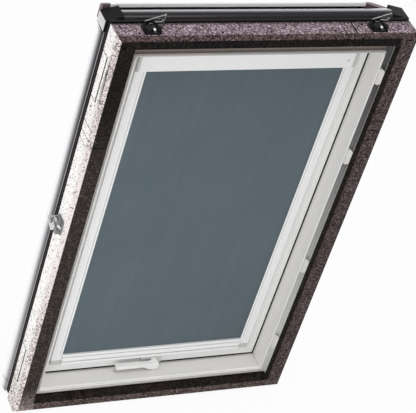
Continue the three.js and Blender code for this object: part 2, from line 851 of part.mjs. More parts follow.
const hood_foot = hinge_axis_height + clad_sheet + hinge_knuckle_radius + seat_gap;
const hood_top = clad_top_z + hood_rise;
const hood_front = skirt_outer_depth + hood_gap;
const hood_left_x = clad_left_x + carrier_inset;
const hood_right_x = clad_right_x - hood_right_inset;

function hoodPath() {
  const path = new THREE.Path();
  path.moveTo(hood_front, hood_top - hood_face_height);
  path.lineTo(hood_front, hood_top);
  path.lineTo(hood_outer_depth - hood_bend, hood_top);
  path.absarc(hood_outer_depth - hood_bend, hood_top - hood_bend, hood_bend, Math.PI / 2, 0, true);
  path.lineTo(hood_outer_depth, hood_foot);
  path.lineTo(hood_outer_depth - hood_turn_in, hood_foot);
  return path;
}
place(fixed_part, 'top_hood', prismX(
  sheetShape(hoodPath(), -clad_sheet, 5),
  hood_left_x + hood_cap_left_width + seat_gap, hood_right_x - hood_cap_right_width - seat_gap,
), hood_metal);

function hoodCap(from, to, top_inner, top_outer) {
  const section = toSolid(prismX(new THREE.Shape([
    ...hoodPath().getPoints(5), new THREE.Vector2(hood_outer_depth - hood_turn_in, hood_foot),
    new THREE.Vector2(hood_front, hood_foot),
  ]), Math.min(from, to), Math.max(from, to)));
  const foot = clad_open.top + seat_gap;
  const face = shapeOf([[from, foot], [from, top_inner], [to, top_outer], [to, foot]]);
  return section.intersect(toSolid(prismY(face, 0, hood_outer_depth + overrun)));
}
place(fixed_part, 'hood_cap_left', hoodCap(
  hood_left_x + hood_cap_left_width, hood_left_x, hood_top, hood_top,
), cap_metal);
place(fixed_part, 'hood_cap_right', hoodCap(
  hood_right_x - hood_cap_right_width, hood_right_x, hood_top, hood_top - hood_cap_right_drop,
), cap_metal);

// Installation brackets: a folded steel angle, slotted for the batten screws, whose tongue lies
// between the two bosses of a black foot

const bracket_foot_front = batten_plane_depth - bracket_foot_depth;
const bracket_boss_places = [
  bracket_boss_radii[0] - bracket_foot_left, bracket_foot_right - bracket_boss_radii[1],
];
const bracket_tongue_left = (bracket_boss_places[0] + bracket_boss_radii[0]
  + bracket_boss_places[1] - bracket_boss_radii[1] - bracket_tongue) / 2;

function bracketAngle(foot_shift) {
  const foot_back = batten_plane_depth + bracket_sheet;
  const half = bracket_length / 2;
  const foot_top = bracket_foot_thickness + 2 * seat_gap;
  const tongue_left = bracket_tongue_left + foot_shift;
  const foot = box(
    tongue_left, tongue_left + bracket_tongue, bracket_foot_front, foot_back,
    foot_top, foot_top + bracket_sheet,
  );
  const flange = prismY(shapeOf([
    [-half, foot_top], [half, foot_top], [half, bracket_long_side], [-half, bracket_short_side],
  ]), batten_plane_depth, foot_back);
  const slot_middle = foot_top + bracket_sheet + bracket_slot_rise;
  const slot = prismY(roundedShape(
    half - bracket_slot_rise / 2 - bracket_slot_length, half - bracket_slot_rise / 2,
    slot_middle - bracket_slot_width / 2, slot_middle + bracket_slot_width / 2,
    bracket_slot_width / 2 - turn_clearance,
  ), batten_plane_depth - overrun, foot_back + overrun, 6);
  return toGeometry(toSolid(foot).add(toSolid(flange)).subtract(toSolid(slot)));
}

function bracketFoot() {
  let foot = toSolid(prismZ(roundedShape(
    -bracket_foot_left, bracket_foot_right, bracket_foot_front, batten_plane_depth + bracket_sheet,
    bracket_foot_corner,
  ), seat_gap, seat_gap + bracket_foot_thickness));
  bracket_boss_radii.forEach((radius, i) => {
    const from_front = Math.max(radius, bracket_boss_inset);
    const boss = new THREE.Shape();
    boss.absarc(bracket_boss_places[i], bracket_foot_front + from_front, radius, 0, 2 * Math.PI);
    foot = foot.add(toSolid(prismZ(boss, seat_gap, bracket_boss_height)));
  });
  return toGeometry(foot);
}
const bracket_pad = bracketFoot();

function placeBracket(name, x, z, turn, foot_shift) {
  const pair = new THREE.Group();
  place(pair, `bracket_${name}`, bracketAngle(foot_shift), steel);
  place(pair, `bracket_foot_${name}`, bracket_pad, black_plastic).position.x = foot_shift;
  pair.position.set(x, 0, z);
  pair.rotation.y = turn;
  fixed_part.add(pair);
}
const bracket_top_x = block_half_front - bracket_top_inset;
placeBracket('top_left', -bracket_top_x, block_height, 0, 0);
placeBracket('top_right', bracket_top_x, block_height, 0, 0);
placeBracket(
  'side', block_left_x, bracket_side_share * block_height, -Math.PI / 2, bracket_side_foot_shift,
);

// Sash handle: base on the lower rail, lever with its spindle, and the two lock rods it drives

const base_back = sash_face_depth - seat_gap;
const base_front = base_back - handle_base_thickness;
const base_x = handle_x + handle_base_shift;
const lever_depth = base_front - lever_stand_off;
const base_shape = roundedShape(
  base_x - handle_base_width / 2, base_x + handle_base_width / 2,
  handle_height - handle_base_height / 2, handle_height + handle_base_height / 2, handle_base_corner,
);
place(sash_part, 'handle_base', toSolid(prismY(base_shape, base_front, base_back)).subtract(
  toSolid(turnedAboutY(
    spindle_hole_radius, base_front - overrun, base_back + overrun, handle_x, handle_height,
  )),
), blind_grey);

const lever_front = lever_depth - lever_thickness / 2;
const lever_back = lever_depth + lever_thickness / 2;
const lever_shape = new THREE.Shape();
const lever_lower = -lever_drop - lever_width / 2;
const lever_upper = lever_width / 2 - lever_drop;
const lobe_x = lever_hub_radius - lever_lobe_radius;
const lobe_bottom = -lever_lobe_drop - lever_lobe_radius;
lever_shape.moveTo(0, lever_hub_radius);
lever_shape.absarc(0, 0, lever_hub_radius, Math.PI / 2, 0, true);
lever_shape.absarc(lobe_x, -lever_lobe_drop, lever_lobe_radius, 0, -Math.PI / 2, true);
lever_shape.quadraticCurveTo(
  lobe_x - lever_sweep / 2, lobe_bottom, lobe_x - lever_sweep, lever_lower,
);
lever_shape.absarc(
  lever_width / 2 - lever_reach, -lever_drop, lever_width / 2, -Math.PI / 2, Math.PI / 2, true,
);
lever_shape.lineTo(-2 * lever_hub_radius, lever_upper);
lever_shape.quadraticCurveTo(-lever_hub_radius, lever_upper, 0, lever_hub_radius);
const lever_blade = toSolid(prismY(lever_shape, lever_front, lever_back));
const lever_hub = toSolid(turnedAboutY(lever_hub_radius, lever_depth, base_front - seat_gap, 0, 0));
const spindle = toSolid(turnedAboutY(
  spindle_radius, lever_depth, sash_face_depth + spindle_length_in_sash, 0, 0, 4,
));
place(sash_part, 'handle_lever', lever_blade.add(lever_hub).add(spindle), handle_paint)
  .position.set(handle_x, 0, handle_height);

for (const s of [-1, 1]) {
  place(sash_part, `lock_rod_${s < 0 ? 'left' : 'right'}`, box(
    ...span(s, rod_start_x, rod_tip_x),
    rod_depth - rod_section / 2, rod_depth + rod_section / 2,
    rod_height - rod_section / 2, rod_height + rod_section / 2,
  ), steel);
}

// Blind: cassette with its roller, guide rails, fabric and pull bar

const cassette_half = sash_open_half - seat_gap - cassette_cap_width - seat_gap;
const slot_front = fabric_depth - rail_slot / 2;
const slot_back = fabric_depth + rail_slot / 2;
const cassette_outer = roundedShape(
  cassette_front_depth, cassette_back_depth, cassette_bottom, cassette_top, cassette_rounding,
);
const cassette_hollow = boxShape(
  cassette_front_depth + cassette_wall, cassette_back_depth - cassette_wall,
  cassette_bottom + cassette_wall, cassette_top - cassette_wall,
);
place(blind_part, 'blind_cassette', toSolid(prismX(cassette_outer, -cassette_half, cassette_half, 4))
  .subtract(toSolid(prismX(cassette_hollow, -cassette_half - overrun, cassette_half + overrun)))
  .subtract(toSolid(box(
    -cassette_half - overrun, cassette_half + overrun, slot_front, slot_back,
    cassette_bottom - overrun, cassette_bottom + cassette_wall + turn_clearance,
  ))), blind_white);

const roller_half = cassette_half - 2 * seat_gap;
const roller_pin = roller_bore_radius - turn_clearance;
for (const s of [-1, 1]) {
  const cap_span = span(s, cassette_half + seat_gap, sash_open_half - seat_gap);
  const cap = prismX(cassette_outer, ...cap_span, 4);
  const pin = new THREE.CylinderGeometry(
    roller_pin, roller_pin, 2 * cassette_cap_width, 24,
  );
  pin.rotateZ(Math.PI / 2);
  pin.translate(s * cassette_half, roller_depth, roller_height);
  const cap_name = `cassette_cap_${s < 0 ? 'left' : 'right'}`;
  place(blind_part, cap_name, toSolid(cap).add(toSolid(pin)), blind_grey);
}

const tube = new THREE.CylinderGeometry(roller_radius, roller_radius, 2 * roller_half, 24);
tube.rotateZ(Math.PI / 2);
const tube_bore = new THREE.CylinderGeometry(
  roller_bore_radius, roller_bore_radius, 2 * (roller_half + overrun), 24,
);
tube_bore.rotateZ(Math.PI / 2);
place(blind_part, 'blind_roller', toSolid(tube).subtract(toSolid(tube_bore)), steel)
  .position.set(0, roller_depth, roller_height);

for (const s of [-1, 1]) {
  const side = s < 0 ? 'left' : 'right';
  const outer = sash_open_half - seat_gap;
  const section = shapeOf([
    [s * rail_inner_half, rail_front_depth], [s * outer, rail_front_depth],
    [s * outer, rail_back_depth], [s * rail_inner_half, rail_back_depth],
    [s * rail_inner_half, slot_back], [s * (rail_inner_half + rail_slot_reach), slot_back],
    [s * (rail_inner_half + rail_slot_reach), slot_front], [s * rail_inner_half, slot_front],
  ]);
  const foot_bottom = sash_open_bottom + seat_gap;
  const foot_top = foot_bottom + rail_foot_height;
  place(blind_part, `guide_rail_${side}`,
    prismZ(section, foot_top + seat_gap, cassette_bottom - seat_gap), blind_white);
  place(blind_part, `rail_foot_${side}`, box(
    ...span(s, rail_inner_half, outer), rail_foot_front, rail_back_depth, foot_bottom, foot_top,
  ), blind_grey);
}

place(blind_part, 'blind_fabric', box(
  -rail_inner_half - fabric_tuck, rail_inner_half + fabric_tuck,
  fabric_depth - fabric_thickness / 2, fabric_depth + fabric_thickness / 2,
  bar_top + seat_gap, roller_height,
), blackout);

const bar_half = rail_inner_half - 2 * seat_gap;
const ridges = bar_ridge_shares.flatMap((share) => {
  const middle = bar_bottom + share * bar_height;
  return [
    [bar_front_depth, middle - bar_groove_height],
    [bar_front_depth + bar_groove_depth, middle],
    [bar_front_depth, middle + bar_groove_height],
  ];
});
const bar_section = shapeOf([
  [bar_back_depth, bar_bottom], [bar_front_depth + bar_groove_depth, bar_bottom],
  [bar_front_depth, bar_bottom + bar_groove_depth], ...ridges,
  [bar_front_depth, bar_top - bar_groove_depth], [bar_front_depth + bar_groove_depth, bar_top],
  [bar_back_depth, bar_top],
]);
const bar_body = toSolid(prismX(bar_section, -bar_half, bar_half));
const bar_tongues = toSolid(box(
  -rail_inner_half - fabric_tuck, rail_inner_half + fabric_tuck,
  fabric_depth - bar_tongue / 2, fabric_depth + bar_tongue / 2,
  bar_bottom + rail_foot_height, bar_top,
));
place(blind_part, 'pull_bar', bar_body.add(bar_tongues), blind_white);

roof_window.position.y = -batten_plane_depth;

export default roof_window;
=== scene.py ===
import json
import math

import bmesh
import bpy
from mathutils import Matrix, Vector

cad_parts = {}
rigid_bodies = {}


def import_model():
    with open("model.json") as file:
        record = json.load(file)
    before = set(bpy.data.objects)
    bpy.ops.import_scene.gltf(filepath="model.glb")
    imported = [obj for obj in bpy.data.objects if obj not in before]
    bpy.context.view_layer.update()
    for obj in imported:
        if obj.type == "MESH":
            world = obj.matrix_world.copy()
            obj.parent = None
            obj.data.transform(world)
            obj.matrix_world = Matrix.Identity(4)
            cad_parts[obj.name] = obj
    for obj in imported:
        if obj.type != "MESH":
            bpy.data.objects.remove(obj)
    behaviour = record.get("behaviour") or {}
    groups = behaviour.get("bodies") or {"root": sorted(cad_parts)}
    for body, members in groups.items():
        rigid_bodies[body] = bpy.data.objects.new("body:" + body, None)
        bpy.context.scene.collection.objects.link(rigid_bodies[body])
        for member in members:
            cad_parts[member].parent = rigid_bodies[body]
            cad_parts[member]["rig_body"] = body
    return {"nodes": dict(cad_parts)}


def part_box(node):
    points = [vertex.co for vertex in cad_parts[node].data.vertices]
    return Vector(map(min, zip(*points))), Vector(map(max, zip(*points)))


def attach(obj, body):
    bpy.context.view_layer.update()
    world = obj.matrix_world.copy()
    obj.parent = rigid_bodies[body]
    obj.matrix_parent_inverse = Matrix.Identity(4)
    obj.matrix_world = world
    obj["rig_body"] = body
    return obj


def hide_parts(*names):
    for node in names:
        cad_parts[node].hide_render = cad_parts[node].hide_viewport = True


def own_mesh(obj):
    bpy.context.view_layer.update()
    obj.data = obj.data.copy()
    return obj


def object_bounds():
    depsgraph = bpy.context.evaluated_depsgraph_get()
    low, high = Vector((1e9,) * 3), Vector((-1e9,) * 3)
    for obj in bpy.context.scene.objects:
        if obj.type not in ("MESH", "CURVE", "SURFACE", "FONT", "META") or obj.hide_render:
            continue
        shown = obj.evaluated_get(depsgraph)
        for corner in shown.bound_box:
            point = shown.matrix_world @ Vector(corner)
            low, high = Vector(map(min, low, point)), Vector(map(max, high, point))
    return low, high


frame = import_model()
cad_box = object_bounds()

# Camera: the window is seen from the room side, from the left and above, through a long lens.
# Its place is in metres in the window's own frame, and its three axes are unit vectors there.
camera_place = Vector((-2.02489, -3.07816, 3.57936))
camera_right = Vector((0.90049, -0.35248, 0.25469))
camera_up = Vector((0.05093, 0.66713, 0.74320))
camera_back = Vector((-0.43188, -0.65627, 0.61870))
camera_lens = 159.2
camera_film = 36.0
camera_reach = 50.0


def put(name, data):
    """A new object in the scene."""
    made = bpy.data.objects.new(name, data)
    bpy.context.scene.collection.objects.link(made)
    return made


camera_data = bpy.data.cameras.new("camera")
camera_data.lens = camera_lens
camera_data.sensor_width = camera_film
camera_data.sensor_fit = "HORIZONTAL"
camera_data.clip_end = camera_reach
camera = put("camera", camera_data)
turn = Matrix((camera_right, camera_up, camera_back)).transposed()
camera.matrix_world = Matrix.Translation(camera_place) @ turn.to_4x4()
bpy.context.scene.camera = camera
bpy.context.scene.view_settings.view_transform = "Standard"

# Studio: a white surround, soft lamps in front and behind, and a pale floor that keeps the
# shadow under the window's lower edge. The surround and the floor look white to the camera,
# in reflections and through the glass. Each lamp has its place, its width and its power.
surround_light = 0.61
floor_size = 12.0
floor_colour = (0.86, 0.86, 0.86, 1.0)
floor_roughness = 0.9
floor_glow_share = 0.93
white = (1.0, 1.0, 1.0, 1.0)
lamps = {
    "lamp_front_left": ((-1.3, -1.4, 0.20), 0.9, 11.5),
    "lamp_front_low": ((-0.3, -3.0, 0.6), 1.6, 8.0),
    "lamp_back_left": ((-3.0, 0.9, 1.6), 1.2, 26.0),
    "lamp_above": ((0.1, -0.4, 3.3), 1.6, 35.0),
}
window_middle = (cad_box[0] + cad_box[1]) / 2


def add(tree, kind, options=None, **sockets):
    """A new shader node with its options and its socket values set."""
    made = tree.nodes.new(kind)
    for key, value in (options or {}).items():
        setattr(made, key, value)
    for key, value in sockets.items():
        made.inputs[key.replace("_", " ")].default_value = value
    return made


def join(tree, source, target):
    tree.links.new(source, target)


def both(tree, first, *others, operation="MULTIPLY"):
    """Two or more masks or values joined by one operation."""
    for other in others:
        made = add(tree, "ShaderNodeMath", {"operation": operation})
        join(tree, first, made.inputs[0])
        join(tree, other, made.inputs[1])
        first = made.outputs[0]
    return first


def seen_directly(tree):
    """1 for what the camera sees itself, in a reflection or through glass, and else 0."""
    path = add(tree, "ShaderNodeLightPath")
    rays = [path.outputs[f"Is {kind} Ray"] for kind in ("Camera", "Glossy", "Transmission")]
    return both(tree, *rays, operation="MAXIMUM")


world = bpy.data.worlds.new("studio")
world.use_nodes = True
bpy.context.scene.world = world
sky = world.node_tree
strength = add(sky, "ShaderNodeMix", {"data_type": "FLOAT"})
strength.inputs["A"].default_value = surround_light
strength.inputs["B"].default_value = 1.0
join(sky, seen_directly(sky), strength.inputs["Factor"])
sky.nodes["Background"].inputs["Color"].default_value = white
join(sky, strength.outputs["Result"], sky.nodes["Background"].inputs["Strength"])

for name, (place, size, power) in lamps.items():
    lamp_data = bpy.data.lights.new(name, "AREA")
    lamp_data.shape = "DISK"
    lamp_data.size = size
    lamp_data.energy = power
    lamp = put(name, lamp_data)
    lamp.location = place
    aim = window_middle - Vector(place)
    lamp.rotation_euler = aim.to_track_quat("-Z", "Y").to_euler()

floor_mesh = bpy.data.meshes.new("floor")
half = floor_size / 2
floor_mesh.from_pydata(
    [(-half, -half, 0), (half, -half, 0), (half, half, 0), (-half, half, 0)], [], [(0, 1, 2, 3)])
floor = put("floor", floor_mesh)
floor.location.z = cad_box[0].z
floor_paint = bpy.data.materials.new("studio_floor")
floor_paint.use_nodes = True
paint = floor_paint.node_tree
matt = paint.nodes["Principled BSDF"]
matt.inputs["Base Color"].default_value = floor_colour
matt.inputs["Roughness"].default_value = floor_roughness
glow = add(paint, "ShaderNodeEmission", Color=white, Strength=1.0)
share = add(paint, "ShaderNodeMath", {"operation": "MULTIPLY"})
share.inputs[1].default_value = floor_glow_share
mixed = add(paint, "ShaderNodeMixShader")
join(paint, seen_directly(paint), share.inputs[0])
join(paint, share.outputs[0], mixed.inputs["Fac"])
join(paint, matt.outputs[0], mixed.inputs[1])
join(paint, glow.outputs[0], mixed.inputs[2])
join(paint, mixed.outputs[0], paint.nodes["Material Output"].inputs["Surface"])
floor.data.materials.append(floor_paint)

# Insulation block: four moulded corner pieces of black bead foam, keyed by dovetails and
# pushed together round the frame. The skin's tones by face are painted light and shade: the
# left face is painted nearly white and the top face lighter, as lit from the left and above,
# and the room face is painted dark on the left and top bars and lighter on the right and low bars.
left_face_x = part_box("insulation_top_left")[0].x
right_face_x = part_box("insulation_top_right")[1].x
top_face_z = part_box("insulation_top_left")[1].z
room_face_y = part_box("insulation_top_left")[0].y
back_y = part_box("insulation_top_left")[1].y
reveal_side = 0.352
foam_edge = 0.0012

bead_size = 0.0032
fine_bead_size = 0.0019
bead_relief = 0.0005
bead_relief_strength = 0.8
blotch_scale = 60.0
bead_tones = (0.35, 2.3)
fine_bead_tones = (0.55, 1.45)
blotch_tones = (0.8, 1.2)
blotch_reach = (0.3, 0.7)
seam_tones = (0.5, 1.0)
seam_reach = 0.10
calm_share = 0.22
foam_inner = (0.024, 0.0185, 0.016)
# Painted light and shade by face: the room face darker on the left and top bars and lighter on the
# right and low bars and the low left corner; the chamfer and the top face lighter; the left face
# nearly white
foam_front_top_shade = (0.0096, 0.0080, 0.0076)
foam_front_left_shade = (0.041, 0.033, 0.029)
foam_front_left_high_shade = (0.0125, 0.0095, 0.0090)
foam_front_right_light = (0.082, 0.060, 0.062)
foam_front_low_light = (0.098, 0.074, 0.068)
foam_front_corner_light = (0.27, 0.225, 0.205)
foam_chamfer_light = (0.080, 0.054, 0.056)
foam_top_light = (0.215, 0.167, 0.189)
# A painted shadow along the top face's back edge, where the cladding shades it
foam_top_back_shadow = (0.045, 0.036, 0.040)
foam_left_light = (0.875, 0.86, 0.85)
foam_left_front_light = (0.74, 0.69, 0.68)
foam_speck = (0.19, 0.135, 0.12)
foam_other = (0.13, 0.10, 0.11)

# Where each stretch of the skin starts and where it is full: first by how far a face leans
# one way, then by its place in metres
lean_start = 0.3
lean_full = 0.6
lying_flat = (0.85, 0.95)
left_flat = (-0.975, -0.995)
top_bar = (1.205, 1.215)
left_bar = (-0.345, -reveal_side)
left_bar_high = (0.80, 1.08)
right_bar = (0.345, reveal_side)
low_bar = (0.036, 0.033)
low_corner = (0.10, -0.02)
top_chamfer = (1.236, 1.241)
top_face = (1.24, 1.25)
top_face_shadow_span = (0.001, 0.012)
under_face = (0.012, 0.010)
right_face = (0.37, 0.39)
left_face = (-0.385, -0.390)
groove_floor = (left_face_x + 0.0012, left_face_x + 0.0032)


def finish(name, roughness, metallic=0.0, **sockets):
    """A new material, with its node tree and its surface shader."""
    material = bpy.data.materials.new(name)
    material.use_nodes = True
    surface = material.node_tree.nodes["Principled BSDF"]
    surface.inputs["Roughness"].default_value = roughness
    surface.inputs["Metallic"].default_value = metallic
    for key, value in sockets.items():
        surface.inputs[key.replace("_", " ")].default_value = value
    return material, material.node_tree, surface


def parts_of(tree):
    """The place on the object, then that place and the face's direction as three numbers."""
    place_in = add(tree, "ShaderNodeTexCoord")
    plain_normal = add(tree, "ShaderNodeNewGeometry")
    found = []
    for vector in (place_in.outputs["Object"], plain_normal.outputs["True Normal"]):
        split = add(tree, "ShaderNodeSeparateXYZ")
        join(tree, vector, split.inputs[0])
        found.append(tuple(split.outputs))
    return place_in.outputs["Object"], found[0], found[1]


def ramp(tree, value, start, end):
    """A smooth mask that goes from 0 at start to 1 at end."""
    span = add(tree, "ShaderNodeMapRange", {"interpolation_type": "SMOOTHSTEP"},
               From_Min=start, From_Max=end)
    join(tree, value, span.inputs["Value"])
    return span.outputs[0]


def remap(tree, value, low, high, start=0.0, end=1.0):
    """A value that runs evenly from low to high while the given one goes from start to end."""
    span = add(tree, "ShaderNodeMapRange", From_Min=start, From_Max=end, To_Min=low, To_Max=high)
    join(tree, value, span.inputs["Value"])
    return span.outputs[0]


def blend(tree, mask, below, above):
    """One tone that turns into another with the mask. Each is a fixed colour or a socket."""
    tint = add(tree, "ShaderNodeMix", {"data_type": "RGBA"})
    for tone, socket in ((below, tint.inputs[6]), (above, tint.inputs[7])):
        if isinstance(tone, tuple):
            socket.default_value = (*tone, 1.0)
        else:
            join(tree, tone, socket)
    join(tree, mask, tint.inputs["Factor"])
    return tint.outputs[2]


def emboss(tree, surface, height, depth, strength=1.0):
    bump = add(tree, "ShaderNodeBump", Distance=depth, Strength=strength)
    join(tree, height, bump.inputs["Height"])
    join(tree, bump.outputs["Normal"], surface.inputs["Normal"])


foam, foam_tree, foam_surface = finish(
    "bead_foam", roughness=0.86, Specular_IOR_Level=0.08)
foam_place, (x_place, y_place, z_place), (x_face, y_face, z_face) = parts_of(foam_tree)
faces_room = ramp(foam_tree, y_face, -lean_start, -lean_full)
faces_up = ramp(foam_tree, z_face, lean_start, lean_full)
faces_straight_up = ramp(foam_tree, z_face, *lying_flat)
faces_down = ramp(foam_tree, z_face, -lean_start, -lean_full)
faces_left = ramp(foam_tree, x_face, -lean_start, -lean_full)
faces_straight_left = ramp(foam_tree, x_face, *left_flat)
faces_right = ramp(foam_tree, x_face, lean_start, lean_full)
on_left_bar = both(foam_tree, faces_room, ramp(foam_tree, x_place, *left_bar))
on_top_face = both(foam_tree, faces_straight_up, ramp(foam_tree, z_place, *top_face))
on_top_bar = both(foam_tree, faces_room, ramp(foam_tree, z_place, *top_bar))
# The skin's tones by face and bar are painted light and shade, not the foam's own colour
skin_tone = blend(foam_tree, on_top_bar, foam_inner, foam_front_top_shade)
for mask, colour in (
    (on_left_bar, foam_front_left_shade),
    (both(foam_tree, on_left_bar, ramp(foam_tree, z_place, *left_bar_high)), foam_front_left_high_shade),
    (both(foam_tree, faces_room, ramp(foam_tree, x_place, *right_bar)), foam_front_right_light),
    (both(foam_tree, faces_room, ramp(foam_tree, z_place, *low_bar)), foam_front_low_light),
    (both(foam_tree, on_left_bar, ramp(foam_tree, z_place, *low_corner)), foam_front_corner_light),
    (both(foam_tree, faces_up, ramp(foam_tree, z_place, *top_chamfer)), foam_chamfer_light),
    (on_top_face, foam_top_light),
    # painted shadow along the top face's back edge
    (both(foam_tree, on_top_face, ramp(foam_tree, y_place, *top_face_shadow_span)), foam_top_back_shadow),
    (both(foam_tree, faces_down, ramp(foam_tree, z_place, *under_face)), foam_other),
    (both(foam_tree, faces_right, ramp(foam_tree, x_place, *right_face)), foam_other),
):
    skin_tone = blend(foam_tree, mask, skin_tone, colour)

# The beads: each cell has its own tone, large and fine beads lie over each other, and the seams
# between them are darker. The left bar's room face is calmer than the rest.
bead_cells = add(foam_tree, "ShaderNodeTexVoronoi", Scale=1 / bead_size)
fine_cells = add(foam_tree, "ShaderNodeTexVoronoi", Scale=1 / fine_bead_size)
bead_seams = add(foam_tree, "ShaderNodeTexVoronoi", {"feature": "DISTANCE_TO_EDGE"},
                 Scale=1 / bead_size)
blotch = add(foam_tree, "ShaderNodeTexNoise", Scale=blotch_scale, Detail=3.0, Roughness=0.7)
for texture in (bead_cells, fine_cells, bead_seams, blotch):
    join(foam_tree, foam_place, texture.inputs["Vector"])
random_beads = []
for cells in (bead_cells, fine_cells):
    split = add(foam_tree, "ShaderNodeSeparateColor")
    join(foam_tree, cells.outputs["Color"], split.inputs[0])
    random_beads.append(split.outputs[0])
squared = both(foam_tree, random_beads[0], random_beads[0])
bead_tone = remap(foam_tree, squared, *bead_tones)
fine_tone = remap(foam_tree, random_beads[1], *fine_bead_tones)
blotch_tone = remap(foam_tree, blotch.outputs["Fac"], *blotch_tones, *blotch_reach)
seam_tone = remap(foam_tree, bead_seams.outputs["Distance"], *seam_tones, end=seam_reach)
speckle = both(foam_tree, bead_tone, fine_tone, blotch_tone, seam_tone)
calmed = add(foam_tree, "ShaderNodeMix", {"data_type": "FLOAT"})
calmed.inputs["B"].default_value = 1.0
join(foam_tree, remap(foam_tree, on_left_bar, 0.0, calm_share), calmed.inputs["Factor"])
join(foam_tree, speckle, calmed.inputs["A"])
foam_colour = add(foam_tree, "ShaderNodeVectorMath", {"operation": "SCALE"})
join(foam_tree, skin_tone, foam_colour.inputs[0])
join(foam_tree, calmed.outputs["Result"], foam_colour.inputs["Scale"])

# The left face: painted light makes it nearly white, with scattered dark beads that thicken
# towards the foot and along the front edge. The floors of the cuts keep the dark tone of the
# inner faces, outside the painted light.
few_specks = (0.045, 0.005)
many_specks = (0.24, 0.06)
worn_low = (0.62, 0.25)
worn_high = (0.78, 1.10)
worn_edge = (-0.016, -0.042)
worn_foot = (0.34, -0.05)
# Painted light: the left face nearly white, a little darker where it leans to the front
left_face_light = blend(foam_tree, faces_straight_left, foam_left_front_light, foam_left_light)
scatter = both(foam_tree, random_beads[0], random_beads[1], blotch_tone)
worn_length = both(foam_tree, ramp(foam_tree, z_place, *worn_low),
                   ramp(foam_tree, z_place, *worn_high), operation="MAXIMUM")
near_edge = both(foam_tree, ramp(foam_tree, y_place, *worn_edge), worn_length)
worn = both(foam_tree, ramp(foam_tree, z_place, *worn_foot), near_edge, operation="MAXIMUM")
specks = add(foam_tree, "ShaderNodeMix", {"data_type": "FLOAT"})
join(foam_tree, worn, specks.inputs["Factor"])
join(foam_tree, ramp(foam_tree, scatter, *few_specks), specks.inputs["A"])
join(foam_tree, ramp(foam_tree, scatter, *many_specks), specks.inputs["B"])
left_face_light_tone = blend(foam_tree, specks.outputs["Result"], left_face_light, foam_speck)
in_groove = both(foam_tree, faces_straight_left, ramp(foam_tree, x_place, *groove_floor))
left_face_light_tone = blend(foam_tree, in_groove, left_face_light_tone, foam_inner)
on_left_face = both(foam_tree, faces_left, ramp(foam_tree, x_place, *left_face))
foam_tone = blend(foam_tree, on_left_face, foam_colour.outputs[0], left_face_light_tone)
join(foam_tree, foam_tone, foam_surface.inputs["Base Color"])
emboss(foam_tree, foam_surface, bead_seams.outputs["Distance"], bead_relief, bead_relief_strength)

# Each rigid piece starts from the solid of its CAD node. Its edges are rounded as the real
# tool, mould or extruder leaves them, then the holes and lines that the solid lacks are cut.
cutters_made = []
flat_enough = math.radians(0.5)
same_point = 1e-5


def finished(node, radius, material, cutters=(), segments=2, sharp=0.5):
    """The finished piece that stands for a CAD node."""
    source = frame["nodes"][node]
    mesh = source.data.copy()
    piece = put(node + "_finished", mesh)
    tidy_up(mesh)
    rounding = piece.modifiers.new("edges", "BEVEL")
    rounding.width = radius
    rounding.segments = segments
    rounding.limit_method = "ANGLE"
    rounding.angle_limit = sharp
    bake_modifiers(piece)
    for cutter in cutters:
        carve(piece, cutter)
    for face in piece.data.polygons:
        face.use_smooth = True
    piece.data.set_sharp_from_angle(angle=sharp)
    even = piece.modifiers.new("flat_faces_stay_flat", "WEIGHTED_NORMAL")
    even.mode = "FACE_AREA"
    even.keep_sharp = True
    bake_modifiers(piece)
    piece.data.materials.clear()
    piece.data.materials.append(material)
    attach(piece, source["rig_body"])
    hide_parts(node)
    return piece


def tidy_up(mesh):
    """The solid's mesh without doubled points and without edges across flat faces."""
    work = bmesh.new()
    work.from_mesh(mesh)
    bmesh.ops.remove_doubles(work, verts=work.verts, dist=same_point)
    bmesh.ops.dissolve_limit(
        work, angle_limit=flat_enough, verts=work.verts, edges=work.edges)
    work.to_mesh(mesh)
    work.free()


def bake_modifiers(piece):
    seen = bpy.context.evaluated_depsgraph_get()
    shaped = bpy.data.meshes.new_from_object(piece.evaluated_get(seen))
    piece.modifiers.clear()
    piece.data = shaped


def carve(piece, cutter):
    cut = piece.modifiers.new("cut", "BOOLEAN")
    cut.operation = "DIFFERENCE"
    cut.solver = "EXACT"
    cut.use_self = True
    cut.object = cutter
    bake_modifiers(piece)


def bar_cutter(name, bars):
    """One mesh of boxes, each (low corner, high corner), that is cut away from a piece."""
    work = bmesh.new()
    for low, high in bars:
        low, high = Vector(low), Vector(high)
        size = Matrix.Diagonal(high - low).to_4x4()
        middle = Matrix.Translation((low + high) / 2)
        bmesh.ops.create_cube(work, size=1.0, matrix=middle @ size)
    return hidden_cutter(name, work)


def round_cutter(name, places, direction, radius, depth, sides=16):
    """One mesh of round holes, each centred on its place and cut both ways from the surface."""
    work = bmesh.new()
    frame_turn = direction.to_track_quat("Z", "Y").to_matrix().to_4x4()
    for place in places:
        bmesh.ops.create_cone(
            work, cap_ends=True, segments=sides, radius1=radius, radius2=radius,
            depth=2 * depth, matrix=Matrix.Translation(place) @ frame_turn)
    return hidden_cutter(name, work)


def put_shape(name, work):
    """A new object in the scene from a shape that is ready."""
    mesh = bpy.data.meshes.new(name)
    work.to_mesh(mesh)
    work.free()
    return put(name, mesh)


def hidden_cutter(name, work):
    cutters_made.append(put_shape(name, work))
    return cutters_made[-1]


